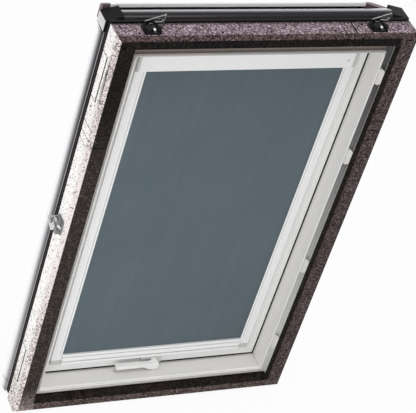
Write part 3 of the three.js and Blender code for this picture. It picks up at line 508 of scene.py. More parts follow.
# The block's joints show as key lines where the dovetails meet, and each side face has two
# moulded pockets that are open to the back. All are shallow cuts in the skin.
past = 0.01
seam_line_width = 0.0021
wide_seam_width = 0.0036
sill_seam_width = 0.0030
seam_line_depth = 0.0040
pocket_line_width = 2.4 * seam_line_width
chamfer_drop = 4 * seam_line_depth
pocket_y = room_face_y + 0.026
block_sill_z = 0.0333
high_pocket = (1.045, 1.178)
low_pocket = (0.094, 0.220)
left_bar_heights = (0.9265, 0.9655)
left_face_heights = (0.9430, 0.9725)
right_bar_heights = (0.9195, 0.9485, 0.9810)
top_bar_low_z = 1.2190
top_bar_line_top_z = 1.2440
top_bar_seam_x = 0.1865
top_bar_wide_x = (0.2120, 0.2385)
top_left_seam_x = 0.1925
top_right_wide_x = 0.2225
top_right_seam_x = 0.2645
sill_line_places = (-0.2430, -0.2060)
corner_pocket_left_x = -0.3860
corner_pocket_right_x = -0.3770
corner_pocket_top_z = 1.2360
notch_x = 0.3615
notch_line_width = 0.0026
notch_foot_width = 0.0170
notch_foot_z = 1.2340
notch_top_z = 1.2370


def pocket(low, high, face_x, inward):
    """The outline of a moulded pocket on a side face, open to the back."""
    near, far = sorted((face_x - past * inward, face_x + seam_line_depth * inward))
    return [
        ((near, pocket_y, low), (far, pocket_y + pocket_line_width, high)),
        ((near, pocket_y, low), (far, back_y, low + seam_line_width)),
        ((near, pocket_y, high - seam_line_width), (far, back_y, high)),
    ]


def line_on_top(x, width):
    """A key line across the top face and down its chamfer."""
    chamfer = ((x, room_face_y - past, top_face_z - chamfer_drop),
               (x + width, room_face_y + seam_line_depth, top_face_z + past))
    across = ((x, room_face_y - past, top_face_z - seam_line_depth),
              (x + width, back_y, top_face_z + past))
    return [chamfer, across]


def line_on_room_face(x, width, low, high):
    return ((x, room_face_y - past, low), (x + width, room_face_y + seam_line_depth, high))


def line_across_bar(x_low, x_high, z):
    return ((x_low, room_face_y - past, z),
            (x_high, room_face_y + seam_line_depth, z + seam_line_width))


def line_on_left_face(z):
    return ((left_face_x - past, room_face_y, z),
            (left_face_x + seam_line_depth, back_y, z + seam_line_width))


def line_on_sill(x):
    """A key line down the sill bar's room face and back along its inner face."""
    inner = ((x, room_face_y, block_sill_z - seam_line_depth),
             (x + sill_seam_width, back_y, block_sill_z + past))
    return [line_on_room_face(x, sill_seam_width, -past, block_sill_z + past), inner]


left_bar_lines = [line_across_bar(left_face_x, -reveal_side, z) for z in left_bar_heights]
left_face_lines = [line_on_left_face(z) for z in left_face_heights]
right_bar_lines = [line_across_bar(reveal_side, right_face_x, z) for z in right_bar_heights]
top_bar_lines = [
    line_on_room_face(top_bar_seam_x, seam_line_width, top_bar_low_z, top_bar_line_top_z)]
for x in top_bar_wide_x:
    top_bar_lines.append(
        line_on_room_face(x, wide_seam_width, top_bar_low_z, top_bar_line_top_z))
sill_bar_lines = [bar for x in sill_line_places for bar in line_on_sill(x)]
corner_pocket = [
    ((corner_pocket_left_x, room_face_y - past, top_bar_low_z),
     (corner_pocket_right_x, room_face_y + seam_line_depth, corner_pocket_top_z))]
corner_notch = [
    line_on_room_face(notch_x, notch_line_width, top_bar_low_z, notch_top_z),
    line_on_room_face(notch_x, notch_foot_width, notch_foot_z, notch_top_z),
]
block_cuts = {
    "insulation_top_left": pocket(*high_pocket, left_face_x, 1) + left_bar_lines + top_bar_lines
    + left_face_lines + corner_pocket + line_on_top(top_left_seam_x, seam_line_width),
    "insulation_bottom_left": pocket(*low_pocket, left_face_x, 1) + left_bar_lines
    + sill_bar_lines,
    "insulation_top_right": pocket(*high_pocket, right_face_x, -1) + top_bar_lines
    + right_bar_lines + corner_notch + line_on_top(top_right_wide_x, wide_seam_width)
    + line_on_top(top_right_seam_x, seam_line_width),
    "insulation_bottom_right": pocket(*low_pocket, right_face_x, -1) + sill_bar_lines
    + right_bar_lines,
}

# The pins' holes: two rows on the top face, near its back and near its front, and some on
# each side face
out_left, out_top, out_front = Vector((-1, 0, 0)), Vector((0, 0, 1)), Vector((0, -1, 0))
out_right = -out_left
pin_hole_radius = 0.0034
pin_hole_depth = 0.004
back_row = 0.044
front_row = 0.0195
side_row = 0.043
top_left_back_pins = (-0.384, -0.175, 0.043)
top_left_front_pins = (-0.344, -0.134, -0.008, 0.166)
top_right_pins = (0.250, 0.3655)
high_left_pins = ((side_row, 1.023), (0.0125, 1.141))
high_right_pins = ((side_row, 1.141), (side_row, 1.000))
low_left_pins = ((0.046, 0.234), (0.0447, 0.042))
low_right_pins = ((side_row, 0.234), (side_row, 0.042))


def on_top(places, depth):
    return [Vector((x, room_face_y + depth, top_face_z)) for x in places]


def on_side(face_x, places):
    return [Vector((face_x, room_face_y + depth, z)) for depth, z in places]


block_holes = {
    "insulation_top_left": [
        (on_top(top_left_back_pins, back_row) + on_top(top_left_front_pins, front_row), out_top),
        (on_side(left_face_x, high_left_pins), out_left)],
    "insulation_top_right": [
        (on_top(top_right_pins, back_row), out_top),
        (on_side(right_face_x, high_right_pins), out_right)],
    "insulation_bottom_left": [(on_side(left_face_x, low_left_pins), out_left)],
    "insulation_bottom_right": [(on_side(right_face_x, low_right_pins), out_right)],
}
for node, bars in block_cuts.items():
    cutters = [bar_cutter(node + "_lines", bars)]
    for i, (places, direction) in enumerate(block_holes[node]):
        cutters.append(round_cutter(
            f"{node}_holes_{i}", places, direction, pin_hole_radius, pin_hole_depth))
    finished(node, foam_edge, foam, cutters)


# Pins: black moulded plastic, pushed through the foam into the frame. Only their dark heads
# show, low in the moulded holes.
def effect(name, inputs, outputs):
    """A shader effect that several finishes share. It gives masks, tones and heights only."""
    tree = bpy.data.node_groups.new(name, "ShaderNodeTree")
    for socket, value in inputs.items():
        made = tree.interface.new_socket(socket, in_out="INPUT", socket_type="NodeSocketFloat")
        made.default_value = value
    for socket in outputs:
        tree.interface.new_socket(socket, in_out="OUTPUT", socket_type="NodeSocketFloat")
    return tree, tree.nodes.new("NodeGroupInput"), tree.nodes.new("NodeGroupOutput")


# Fine grain: the even orange-peel of moulded plastic and powder coat, with a slow drift of tone
grain_group, grain_in, grain_out = effect(
    "fine_grain", {"Grain": 900.0, "Drift": 3.0}, ["Height", "Tone"])
where = add(grain_group, "ShaderNodeTexCoord")
peel = add(grain_group, "ShaderNodeTexNoise", Detail=2.0, Roughness=0.5)
drift = add(grain_group, "ShaderNodeTexNoise", Detail=4.0, Roughness=0.55)
for texture, socket in ((peel, "Grain"), (drift, "Drift")):
    join(grain_group, where.outputs["Object"], texture.inputs["Vector"])
    join(grain_group, grain_in.outputs[socket], texture.inputs["Scale"])
join(grain_group, peel.outputs["Fac"], grain_out.inputs["Height"])
join(grain_group, drift.outputs["Fac"], grain_out.inputs["Tone"])


def use(tree, group, **sockets):
    """A shared effect placed in a material, with its own values."""
    placed = add(tree, "ShaderNodeGroup", {"node_tree": group})
    for key, value in sockets.items():
        placed.inputs[key.replace("_", " ")].default_value = value
    return placed


gloss_drift = 0.06
turned_edge = 0.6


def coated(name, dark, light, roughness, grain=900.0, peel_depth=0.00004, **sockets):
    """Moulded plastic or paint: a slow drift between two tones over a fine orange-peel."""
    material, tree, surface = finish(name, roughness, **sockets)
    skin = use(tree, grain_group, Grain=grain)
    tone = blend(tree, skin.outputs["Tone"], dark, light)
    join(tree, tone, surface.inputs["Base Color"])
    dull = remap(tree, skin.outputs["Tone"], roughness - gloss_drift, roughness + gloss_drift)
    join(tree, dull, surface.inputs["Roughness"])
    emboss(tree, surface, skin.outputs["Height"], peel_depth)
    return material, tree, surface, tone


def turned_part(name, profile, places, direction, material, body, sides=20):
    """Screws and pins: a profile of (radius, height) swept round its axis at each place."""
    work = bmesh.new()
    frame_turn = direction.to_track_quat("Z", "Y").to_matrix()
    for place in places:
        rings = []
        for radius, height in profile:
            ring = []
            for i in range(sides):
                angle = 2 * math.pi * i / sides
                local = Vector((radius * math.cos(angle), radius * math.sin(angle), height))
                ring.append(work.verts.new(frame_turn @ local + place))
            rings.append(ring)
        for low, high in zip(rings, rings[1:]):
            for i in range(sides):
                j = (i + 1) % sides
                work.faces.new((low[i], low[j], high[j], high[i]))
        work.faces.new(list(reversed(rings[0])))
        work.faces.new(rings[-1])
    bmesh.ops.recalc_face_normals(work, faces=work.faces)
    piece = put_shape(name, work)
    for face in piece.data.polygons:
        face.use_smooth = True
    piece.data.set_sharp_from_angle(angle=turned_edge)
    piece.data.materials.append(material)
    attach(piece, body)


black_plastic, *_ = coated(
    "black_plastic", (0.0040, 0.0036, 0.0038), (0.0080, 0.0070, 0.0076), roughness=0.50,
    peel_depth=0.00006, Specular_IOR_Level=0.10)
pin_profile = [(0.0022, -0.0035), (0.0028, -0.0032), (0.0028, -0.0018), (0.0020, -0.0011),
               (0.0010, -0.0011), (0.0008, -0.0020)]
for node, groups in block_holes.items():
    for i, (places, direction) in enumerate(groups):
        turned_part(f"{node}_pins_{i}", pin_profile, places, direction, black_plastic,
                    "fixed_window", sides=16)

# Fixed frame: white extruded profiles, welded at the mitred corners. A groove round the room
# face takes the edge of the room's lining; on the right its floor carries a painted shade, dark
# at the top and pale lower down, and under the head a brown painted shade. The lips of the head
# and the sill carry a painted highlight, and the head lip's front face a painted shade.
frame_edge = 0.0010
profile_grain = 700.0
# The right groove's painted shade, dark at the top and pale lower down
groove_shade_dark = (0.12, 0.115, 0.118)
groove_shade_pale = (0.70, 0.70, 0.69)
# A brown painted shade for the groove under the head
head_groove_shade = (0.255, 0.215, 0.190)
lip_light = (1.0, 0.99, 0.98)
# A painted shade on the head lip's room face
lip_front_shade = (0.47, 0.465, 0.455)
groove_span = (-0.0215, -0.0100)
groove_right = (0.3352, 0.3362)
groove_shade_heights = (1.16, 0.10)
head_groove_span = (-0.0160, -0.0100)
head_groove = (1.1845, 1.1852)
sill_lip_span = (-0.0185, -0.0145)
sill_top = (0.080, 0.070)
head_lip_span = (-0.0240, -0.0165)
head_lip = (1.1800, 1.1840)
lip_front_span = (-0.0215, -0.0225)
head_front = (1.170, 1.175)
profile_up = (0.5, 0.7)
profile_front = (-0.6, -0.8)


def strip(tree, value, low, high, soft=0.0004):
    """A mask that is 1 between low and high and 0 outside."""
    rise = ramp(tree, value, low - soft, low + soft)
    fall = ramp(tree, value, high + soft, high - soft)
    return both(tree, rise, fall)


frame_white, frame_tree, frame_surface, frame_tone = coated(
    "white_profile_with_painted_shade", (0.745, 0.732, 0.715), (0.79, 0.775, 0.760), roughness=0.36,
    grain=profile_grain)
_, (x_place, y_place, z_place), (_, y_face, z_face) = parts_of(frame_tree)
# The right groove's floor: painted shade, dark at the top and pale towards the foot
in_right_groove = both(frame_tree, strip(frame_tree, y_place, *groove_span),
                       ramp(frame_tree, x_place, *groove_right))
groove_shade_tone = blend(frame_tree, ramp(frame_tree, z_place, *groove_shade_heights), groove_shade_dark, groove_shade_pale)
profile_tone = blend(frame_tree, in_right_groove, frame_tone, groove_shade_tone)
in_head_groove = both(frame_tree, strip(frame_tree, y_place, *head_groove_span),
                      ramp(frame_tree, z_place, *head_groove),
                      ramp(frame_tree, x_place, *reversed(groove_right)))
faces_up = ramp(frame_tree, z_face, *profile_up)
faces_room = ramp(frame_tree, y_face, *profile_front)
for mask, colour in (
    # painted shade: brown in the groove under the head
    (in_head_groove, head_groove_shade),
    # painted highlight on the lips of the sill and the head
    (both(frame_tree, faces_up, strip(frame_tree, y_place, *sill_lip_span),
          ramp(frame_tree, z_place, *sill_top)), lip_light),
    (both(frame_tree, faces_up, strip(frame_tree, y_place, *head_lip_span),
          ramp(frame_tree, z_place, *head_lip)), lip_light),
    # painted shade on the head lip's room face
    (both(frame_tree, faces_room, ramp(frame_tree, y_place, *lip_front_span),
          ramp(frame_tree, z_place, *head_front)), lip_front_shade),
):
    profile_tone = blend(frame_tree, mask, profile_tone, colour)
join(frame_tree, profile_tone, frame_surface.inputs["Base Color"])
for node in ("frame_jamb_left", "frame_jamb_right", "frame_sill", "frame_head"):
    finished(node, frame_edge, frame_white)

# Seals: extruded black rubber, matt and soft. One lies in a groove on the frame's back, and
# one runs round the sash.
seal_edge = 0.0004
rubber, *_ = coated(
    "seal_rubber", (0.0035, 0.0035, 0.0035), (0.006, 0.006, 0.006), roughness=0.85,
    grain=1400.0, Specular_IOR_Level=0.1)
for node in ("frame_seal", "sash_seal"):
    finished(node, seal_edge, rubber)

# Lining clips: small sloping tabs of pale moulded plastic, four on each side, snapped into the
# frame's side grooves.
clip_edge = 0.0006
clip_plastic, *_ = coated(
    "clip_plastic", (0.62, 0.61, 0.60), (0.74, 0.73, 0.72), roughness=0.42)
for side in ("left", "right"):
    for number in range(1, 5):
        finished(f"lining_clip_{side}_{number}", clip_edge, clip_plastic)

# Sash: the same white profiles, welded. Two fine lines run along the room face of each side
# bar, where the glazing bead and the rail's bed are drawn in the profile.
sash_edge = 0.0008
sash_line_width = 0.0011
sash_line_depth = 0.0010
sash_line_places = (0.3015, 0.3080)
sash_face_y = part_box("sash_jamb_left")[0].y
sash_low_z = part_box("handle_base")[0].z
sash_high_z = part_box("blind_cassette")[1].z
sash_white, *_ = coated(
    "white_profile", (0.745, 0.745, 0.735), (0.79, 0.79, 0.78), roughness=0.34,
    grain=profile_grain)
for side, sign in (("left", -1), ("right", 1)):
    lines = []
    for place in sash_line_places:
        near, far = sorted((sign * place, sign * (place + sash_line_width)))
        lines.append(((near, sash_face_y - past, sash_low_z),
                      (far, sash_face_y + sash_line_depth, sash_high_z)))
    line_cutter = bar_cutter(f"sash_lines_{side}", lines)
    finished(f"sash_jamb_{side}", sash_edge, sash_white, [line_cutter])
for node in ("sash_head", "sash_sill"):
    finished(node, sash_edge, sash_white)

# Glazing: two clear panes, sealed on a spacer, with the faint green of float glass and a few
# smears in its gloss.
pane_edge = 0.0005
smear_gloss_range = (0.01, 0.05)
glass, glass_tree, glass_surface = finish(
    "clear_glass", roughness=0.02, IOR=1.5, Transmission_Weight=1.0)
smears = use(glass_tree, grain_group, Grain=40.0, Drift=6.0)
glass_tone = blend(
    glass_tree, smears.outputs["Tone"], (0.93, 0.97, 0.955), (0.96, 0.985, 0.975))
join(glass_tree, glass_tone, glass_surface.inputs["Base Color"])
smear_gloss = remap(glass_tree, smears.outputs["Height"], *smear_gloss_range)
join(glass_tree, smear_gloss, glass_surface.inputs["Roughness"])
for node in ("pane_inner", "pane_outer"):
    finished(node, pane_edge, glass)

# Steel parts: zinc-plated, drawn or pressed, with streaks along the metal and worn edges. They
# are the panes' spacer, the hinge leaves with their pins, and the lock rods.
steel_edge = 0.0004
spacer_edge = 0.0003
edge_turn = (0.999, 0.90)
streak_share = 0.06
streak_gloss = (-0.10, 0.12)
sheet_relief = 0.00003
wear_fade = 0.001

# Drawn lines: faint streaks that run along a rolled, drawn or brushed piece
lines_group, lines_in, lines_out = effect(
    "drawn_lines", {"Across X": 900.0, "Across Y": 900.0, "Across Z": 900.0}, ["Lines"])
where = add(lines_group, "ShaderNodeTexCoord")
stretch = add(lines_group, "ShaderNodeVectorMath", {"operation": "MULTIPLY"})
axes = add(lines_group, "ShaderNodeCombineXYZ")
streak = add(lines_group, "ShaderNodeTexNoise", Scale=1.0, Detail=3.0, Roughness=0.6)
for axis in "XYZ":
    join(lines_group, lines_in.outputs["Across " + axis], axes.inputs[axis])
join(lines_group, where.outputs["Object"], stretch.inputs[0])
join(lines_group, axes.outputs[0], stretch.inputs[1])
join(lines_group, stretch.outputs[0], streak.inputs["Vector"])
join(lines_group, streak.outputs["Fac"], lines_out.inputs["Lines"])

# Edge wear: a mask along the sharp edges, broken up by a coarse noise
wear_group, wear_in, wear_out = effect("edge_wear", {"Width": 0.0015, "Break": 60.0}, ["Mask"])
rounded = add(wear_group, "ShaderNodeBevel", {"samples": 4})
shape = add(wear_group, "ShaderNodeNewGeometry")
alike = add(wear_group, "ShaderNodeVectorMath", {"operation": "DOT_PRODUCT"})
where = add(wear_group, "ShaderNodeTexCoord")
crumbs = add(wear_group, "ShaderNodeTexNoise", Detail=5.0, Roughness=0.7)
join(wear_group, wear_in.outputs["Width"], rounded.inputs["Radius"])
join(wear_group, rounded.outputs["Normal"], alike.inputs[0])
join(wear_group, shape.outputs["True Normal"], alike.inputs[1])
join(wear_group, where.outputs["Object"], crumbs.inputs["Vector"])
join(wear_group, wear_in.outputs["Break"], crumbs.inputs["Scale"])
at_edge = remap(wear_group, alike.outputs["Value"], 0.0, 1.0, *edge_turn)
rub = both(wear_group, at_edge, crumbs.outputs["Fac"])
join(wear_group, rub, wear_out.inputs["Mask"])


def plated(name, across, tone=(0.50, 0.51, 0.52), bright=(0.68, 0.69, 0.70), roughness=0.32,
           edge_width=0.0015, edge_gain=1.0, worn_behind=-1.0):
    """Bare plated steel. Its edges are rubbed bright where it lies behind the given depth."""
    material, tree, surface = finish(name, roughness, metallic=1.0)
    drawn = use(tree, lines_group, Across_X=across[0], Across_Y=across[1], Across_Z=across[2])
    worn_edges = use(tree, wear_group, Width=edge_width)
    rubbed_edge = remap(tree, worn_edges.outputs["Mask"], 0.0, edge_gain)
    faint = remap(tree, drawn.outputs["Lines"], 0.0, streak_share)
    _, (_, depth, _), _ = parts_of(tree)
    reached = both(tree, rubbed_edge, ramp(tree, depth, worn_behind, worn_behind + wear_fade))
    mask = both(tree, faint, reached, operation="ADD")
    join(tree, blend(tree, mask, tone, bright), surface.inputs["Base Color"])
    duller = [roughness + change for change in streak_gloss]
    dull = remap(tree, drawn.outputs["Lines"], *duller)
    join(tree, dull, surface.inputs["Roughness"])
    emboss(tree, surface, drawn.outputs["Lines"], sheet_relief)
    return material


plated_steel = plated("plated_steel", across=(60.0, 900.0, 900.0))
finished("pane_spacer", spacer_edge, plated_steel)
for side in ("left", "right"):
    for part in ("hinge_frame", "hinge_sash", "lock_rod"):
        finished(f"{part}_{side}", steel_edge, plated_steel)

# Cladding: dark glossy painted sheet, folded round the outside, on a black carrier. The paint
# is a metallic lacquer that mirrors the light wherever it is seen along the surface. Black
# moulded corner pieces close it at the top; their side flanks carry the same sheet.
sheet_edge = 0.0003
carrier_edge = 0.0005
corner_edge = 0.0015
flank_lean = 0.6
paint_dark = (0.0075, 0.0060, 0.0085)
paint_light = (0.0150, 0.0120, 0.0170)
mirror_light = (0.95, 0.93, 0.96)
joint_black = (0.003, 0.003, 0.003)
# A painted highlight along the fold of the left sheet's foot
fold_highlight_tone = (0.36, 0.33, 0.34)
low_joint = (1.2112, 1.2126)
high_joint = (1.2172, 1.2215)
foot_fold = (0.0235, 0.0255)
foot_fold_side = (-0.390, -0.400)
end_line_slope = 0.34
end_line = (0.0632, 0.0654)
end_line_side = (-0.385, -0.395)


def cladding(name, mirror_start, mirror_end):
    """Dark lacquer whose mirror share grows from one facing value to the other."""
    material, tree, surface = finish(
        name, roughness=0.26, Specular_IOR_Level=0.14, Coat_Weight=0.06, Coat_Roughness=0.10)
    skin = use(tree, grain_group, Grain=500.0, Drift=2.2)
    tone = blend(tree, skin.outputs["Tone"], paint_dark, paint_light)
    _, (x_place, y_place, z_place), _ = parts_of(tree)
    # Painted highlight: a pale line along the fold of the left sheet's foot
    on_fold_highlight = both(tree, strip(tree, y_place, *foot_fold), ramp(tree, x_place, *foot_fold_side))
    tone = blend(tree, on_fold_highlight, tone, fold_highlight_tone)
    glance = add(tree, "ShaderNodeLayerWeight", Blend=0.5)
    mirror = ramp(tree, glance.outputs["Facing"], mirror_start, mirror_end)
    tone = blend(tree, mirror, tone, mirror_light)
    slope = add(tree, "ShaderNodeMath", {"operation": "MULTIPLY_ADD"})
    slope.inputs[1].default_value = end_line_slope
    join(tree, y_place, slope.inputs[0])
    join(tree, z_place, slope.inputs[2])
    at_end = both(tree, strip(tree, slope.outputs[0], *end_line),
                  ramp(tree, x_place, *end_line_side))
    joint = both(tree, strip(tree, z_place, *high_joint), strip(tree, z_place, *low_joint),
                 at_end, operation="MAXIMUM")
    join(tree, blend(tree, joint, tone, joint_black), surface.inputs["Base Color"])
    bare = add(tree, "ShaderNodeMath", {"operation": "SUBTRACT", "use_clamp": True})
    join(tree, mirror, bare.inputs[0])
    join(tree, joint, bare.inputs[1])
    join(tree, bare.outputs[0], surface.inputs["Metallic"])
    emboss(tree, surface, skin.outputs["Height"], sheet_relief)
    return material


side_cladding = cladding("side_cladding_paint", mirror_start=0.405, mirror_end=0.755)
top_cladding = cladding("top_cladding_paint", mirror_start=0.43, mirror_end=0.92)
rear_cladding = cladding("rear_cladding_paint", mirror_start=0.50, mirror_end=1.30)
finished("cladding_left", sheet_edge, side_cladding)
for node in ("cladding_right", "cladding_bottom", "sash_cover"):
    finished(node, sheet_edge, rear_cladding)
finished("cladding_top", sheet_edge, top_cladding)
finished("cladding_carrier", carrier_edge, black_plastic)
for side, sign in (("left", -1), ("right", 1)):
    corner = finished(f"corner_{side}", corner_edge, black_plastic)
    corner.data.materials.append(side_cladding)
    for face in corner.data.polygons:
        if face.normal.x * sign > flank_lean:
            face.material_index = 1

# Hood: pale glossy sheet over the hinges, with a black seam above its lower lip; its room-facing
# faces carry a painted highlight. A brown moulded cap closes each end; the sheet laps over the
# inner end of the left cap.
cap_edge = 0.0012
hood_front_highlight = (0.92, 0.91, 0.93)
hood_seam_tone = (0.004, 0.003, 0.004)
hood_seam = (1.2350, 1.2545)
hood_front = (-0.3, -0.7)
lap_tone = (0.80, 0.79, 0.81)
lap_start = (-0.3845, -0.3835)
left_half = (0.1, 0.0)

hood_paint, hood_tree, hood_surface, hood_tone = coated(
    "hood_paint", (0.60, 0.585, 0.61), (0.68, 0.665, 0.69), roughness=0.22,
    Coat_Weight=0.3, Coat_Roughness=0.1)
_, (_, _, z_place), (_, y_face, _) = parts_of(hood_tree)
faces_room = ramp(hood_tree, y_face, *hood_front)
in_seam = both(hood_tree, strip(hood_tree, z_place, *hood_seam), faces_room)
# Painted highlight: the room-facing faces lighter than the rest of the sheet
hood_tone = blend(hood_tree, faces_room, hood_tone, hood_front_highlight)
hood_tone = blend(hood_tree, in_seam, hood_tone, hood_seam_tone)
join(hood_tree, hood_tone, hood_surface.inputs["Base Color"])
finished("top_hood", sheet_edge, hood_paint)

cap_paint, cap_tree, cap_surface, cap_tone = coated(
    "cap_paint", (0.105, 0.072, 0.086), (0.145, 0.104, 0.120), roughness=0.38)
_, (x_place, _, _), _ = parts_of(cap_tree)
lap = both(cap_tree, ramp(cap_tree, x_place, *lap_start), ramp(cap_tree, x_place, *left_half))
join(cap_tree, blend(cap_tree, lap, cap_tone, lap_tone), cap_surface.inputs["Base Color"])
for side in ("left", "right"):
    finished(f"hood_cap_{side}", cap_edge, cap_paint)

# Installation brackets: pressed steel angles on moulded feet, screwed to the frame's edge. The
# two on top are dark and oily, and bright along their edges. Two small nail holes lie beside
# the slot, and a bright screw holds the tongue down between the two bosses.
bracket_edge = 0.0005
bracket_foot_edge = 0.0016
across_pressed = (900.0, 900.0, 90.0)
bright_edge_tone = (1.0, 1.0, 1.0)
nail_hole_radius = 0.0016
nail_hole_depth = 0.005
nail_holes_in = ((0.0118, 0.0142), (0.0046, 0.0150))
screw_in_x = 0.0160
screw_in_y = 0.0085
screw_lift = 0.0088
side_screw_drop = 0.0200
screw_sides = 24
bracket_steel = plated(
    "bracket_steel", across_pressed, (0.035, 0.037, 0.037), bright_edge_tone, roughness=0.34,
    edge_width=0.0019, edge_gain=1.7, worn_behind=-0.004)
side_bracket_steel = plated(
    "side_bracket_steel", across_pressed, (0.70, 0.71, 0.71), bright_edge_tone, roughness=0.34,
    edge_width=0.0017, edge_gain=1.5)
screw_steel = plated(
    "screw_steel", (300.0, 300.0, 300.0), (0.80, 0.80, 0.79), (0.95, 0.95, 0.94),
    roughness=0.22)
foot_plastic, *_ = coated(
    "grey_foot_plastic", (0.12, 0.12, 0.125), (0.20, 0.20, 0.205), roughness=0.45)
screw_profile = [(0.0040, -0.0006), (0.0043, 0.0006), (0.0038, 0.0017), (0.0026, 0.0023),
                 (0.0017, 0.0024), (0.0014, 0.0011)]
for name in ("top_left", "top_right"):
    low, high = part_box(f"bracket_{name}")
    holes = [Vector((high.x - run, high.y, high.z - drop)) for run, drop in nail_holes_in]
    nails = round_cutter(
        f"nail_holes_{name}", holes, out_front, nail_hole_radius, nail_hole_depth)
    finished(f"bracket_{name}", bracket_edge, bracket_steel, [nails])
    screw_place = Vector((low.x + screw_in_x, low.y + screw_in_y, top_face_z + screw_lift))
    turned_part(f"bracket_screw_{name}", screw_profile, [screw_place], out_top, screw_steel,
                "fixed_window", screw_sides)
    finished(f"bracket_foot_{name}", bracket_foot_edge, black_plastic)
finished("bracket_side", bracket_edge, side_bracket_steel)
finished("bracket_foot_side", bracket_foot_edge, foot_plastic)
low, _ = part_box("bracket_side")
_, foot_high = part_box("bracket_foot_side")
screw_place = Vector(
    (left_face_x - screw_lift, low.y + screw_in_y, foot_high.z - side_screw_drop))
turned_part("bracket_screw_side", screw_profile, [screw_place], out_left, screw_steel,
            "fixed_window", screw_sides)

# Handle: a lever of white lacquered die casting on a pale moulded base, which is screwed to
# the sash's lower bar.
lever_edge = 0.0025
base_edge = 0.0010
handle_lacquer, *_ = coated(
    "handle_lacquer", (0.78, 0.78, 0.77), (0.82, 0.82, 0.81), roughness=0.25, Coat_Weight=0.4)
base_plastic, *_ = coated(
    "base_plastic", (0.62, 0.61, 0.59), (0.68, 0.67, 0.65), roughness=0.42)
finished("handle_lever", lever_edge, handle_lacquer, segments=4)
finished("handle_base", base_edge, base_plastic, segments=3)

# Blind: powder-coated aluminium cassette, rails and pull bar, with grey moulded caps and feet.
# Fine drawn lines run along the rails and the bar, and a small round cover closes the
# cassette's screw hole. The roller inside is a steel tube.
blind_edge = 0.0006
rail_foot_edge = 0.0008
roller_edge = 0.0003
bar_line_width = 0.0022
bar_line_depth = 0.0060
bar_line_up = 0.0100
bar_line_down = 0.0090
rail_line_width = 0.0010
rail_line_depth = 0.0007
rail_line_shares = (0.22, 0.55, 0.80)
cover_x = 0.273
blind_coat, *_ = coated(
    "blind_coat", (0.79, 0.79, 0.79), (0.83, 0.83, 0.83), roughness=0.36, grain=1100.0)
trim_plastic, *_ = coated(
    "trim_plastic", (0.46, 0.45, 0.44), (0.55, 0.54, 0.53), roughness=0.45)
finished("blind_cassette", blind_edge, blind_coat)
bar_low, bar_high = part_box("pull_bar")
bar_lines = [
    ((bar_low.x - past, bar_low.y - past, z),
     (bar_high.x + past, bar_low.y + bar_line_depth, z + bar_line_width))
    for z in (bar_low.z + bar_line_up, bar_high.z - bar_line_down)]
line_cutter = bar_cutter("pull_bar_lines", bar_lines)
finished("pull_bar", blind_edge, blind_coat, [line_cutter])
for side, sign in (("left", -1), ("right", 1)):
    low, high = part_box(f"guide_rail_{side}")
    inner_x = min(abs(low.x), abs(high.x))
    lines = []
    for line_share in rail_line_shares:
        middle = sign * (inner_x + line_share * (high.x - low.x))
        lines.append(((middle - rail_line_width / 2, low.y - past, low.z - past),
                      (middle + rail_line_width / 2, low.y + rail_line_depth, high.z + past)))
    line_cutter = bar_cutter(f"rail_lines_{side}", lines)
    finished(f"guide_rail_{side}", blind_edge, blind_coat, [line_cutter])
    finished(f"cassette_cap_{side}", blind_edge, trim_plastic)
    finished(f"rail_foot_{side}", rail_foot_edge, trim_plastic)
finished("blind_roller", roller_edge, plated_steel)
cassette_low, cassette_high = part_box("blind_cassette")
cover_profile = [(0.0034, -0.0004), (0.0034, 0.0004), (0.0028, 0.0008), (0.0004, 0.0009)]
cover_place = Vector((cover_x, cassette_low.y, (cassette_low.z + cassette_high.z) / 2))
turned_part("screw_cover", cover_profile, [cover_place], out_front, trim_plastic, "sash")

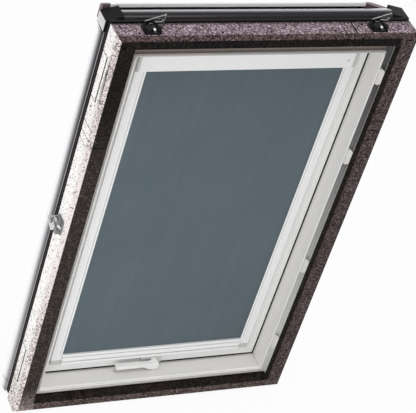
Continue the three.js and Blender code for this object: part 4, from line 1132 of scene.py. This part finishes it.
# Blackout cloth: tightly woven and coated on the back. It hangs in the side rails between the
# roller and the pull bar, and shows faint upright ripples where the roller draws it.
cloth_low, cloth_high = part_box("blind_fabric")
cloth_thickness = cloth_high.y - cloth_low.y
cloth_width = cloth_high.x - cloth_low.x
cloth_length = cloth_high.z - cloth_low.z
cloth_middle_y = (cloth_low.y + cloth_high.y) / 2
cloth_steps = (150, 180)
ripple_depth = 0.00035
ripple_pitch = 0.037
ripple_sway = 1.7
ripple_sway_rate = 5
end_calm_share = 0.35
cloth_dark = (0.075, 0.104, 0.120)
cloth_light = (0.116, 0.152, 0.171)
weave_relief = 0.00008

work = bmesh.new()
rows = []
for j in range(cloth_steps[1] + 1):
    up = j / cloth_steps[1]
    row = []
    for i in range(cloth_steps[0] + 1):
        along = i / cloth_steps[0]
        x = cloth_low.x + along * cloth_width
        sway = ripple_sway * math.sin(ripple_sway_rate * up)
        swell = math.sin(2 * math.pi * x / ripple_pitch + sway)
        hang = end_calm_share + (1 - end_calm_share) * math.sin(math.pi * up)
        y = cloth_middle_y + ripple_depth * swell * math.sin(math.pi * along) * hang
        row.append(work.verts.new((x, y, cloth_low.z + up * cloth_length)))
    rows.append(row)
for low, high in zip(rows, rows[1:]):
    for i in range(cloth_steps[0]):
        work.faces.new((low[i], low[i + 1], high[i + 1], high[i]))
cloth = put_shape("blackout_cloth", work)
thicken = cloth.modifiers.new("thickness", "SOLIDIFY")
thicken.thickness = cloth_thickness
thicken.offset = 0.0
bake_modifiers(cloth)
for face in cloth.data.polygons:
    face.use_smooth = True

blackout, blackout_tree, blackout_surface = finish(
    "blackout_cloth", roughness=0.85, Sheen_Weight=0.15, Specular_IOR_Level=0.2)
streaks = use(blackout_tree, lines_group, Across_X=55.0, Across_Y=1.0, Across_Z=1.3)
weave = use(blackout_tree, grain_group, Grain=2600.0, Drift=5.0)
cloth_mask = both(blackout_tree, streaks.outputs["Lines"], weave.outputs["Tone"])
cloth_tone = blend(blackout_tree, cloth_mask, cloth_dark, cloth_light)
join(blackout_tree, cloth_tone, blackout_surface.inputs["Base Color"])
emboss(blackout_tree, blackout_surface, weave.outputs["Height"], weave_relief)
cloth.data.materials.clear()
cloth.data.materials.append(blackout)
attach(cloth, "sash")
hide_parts("blind_fabric")
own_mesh(cloth)

for cutter in cutters_made:
    bpy.data.objects.remove(cutter)
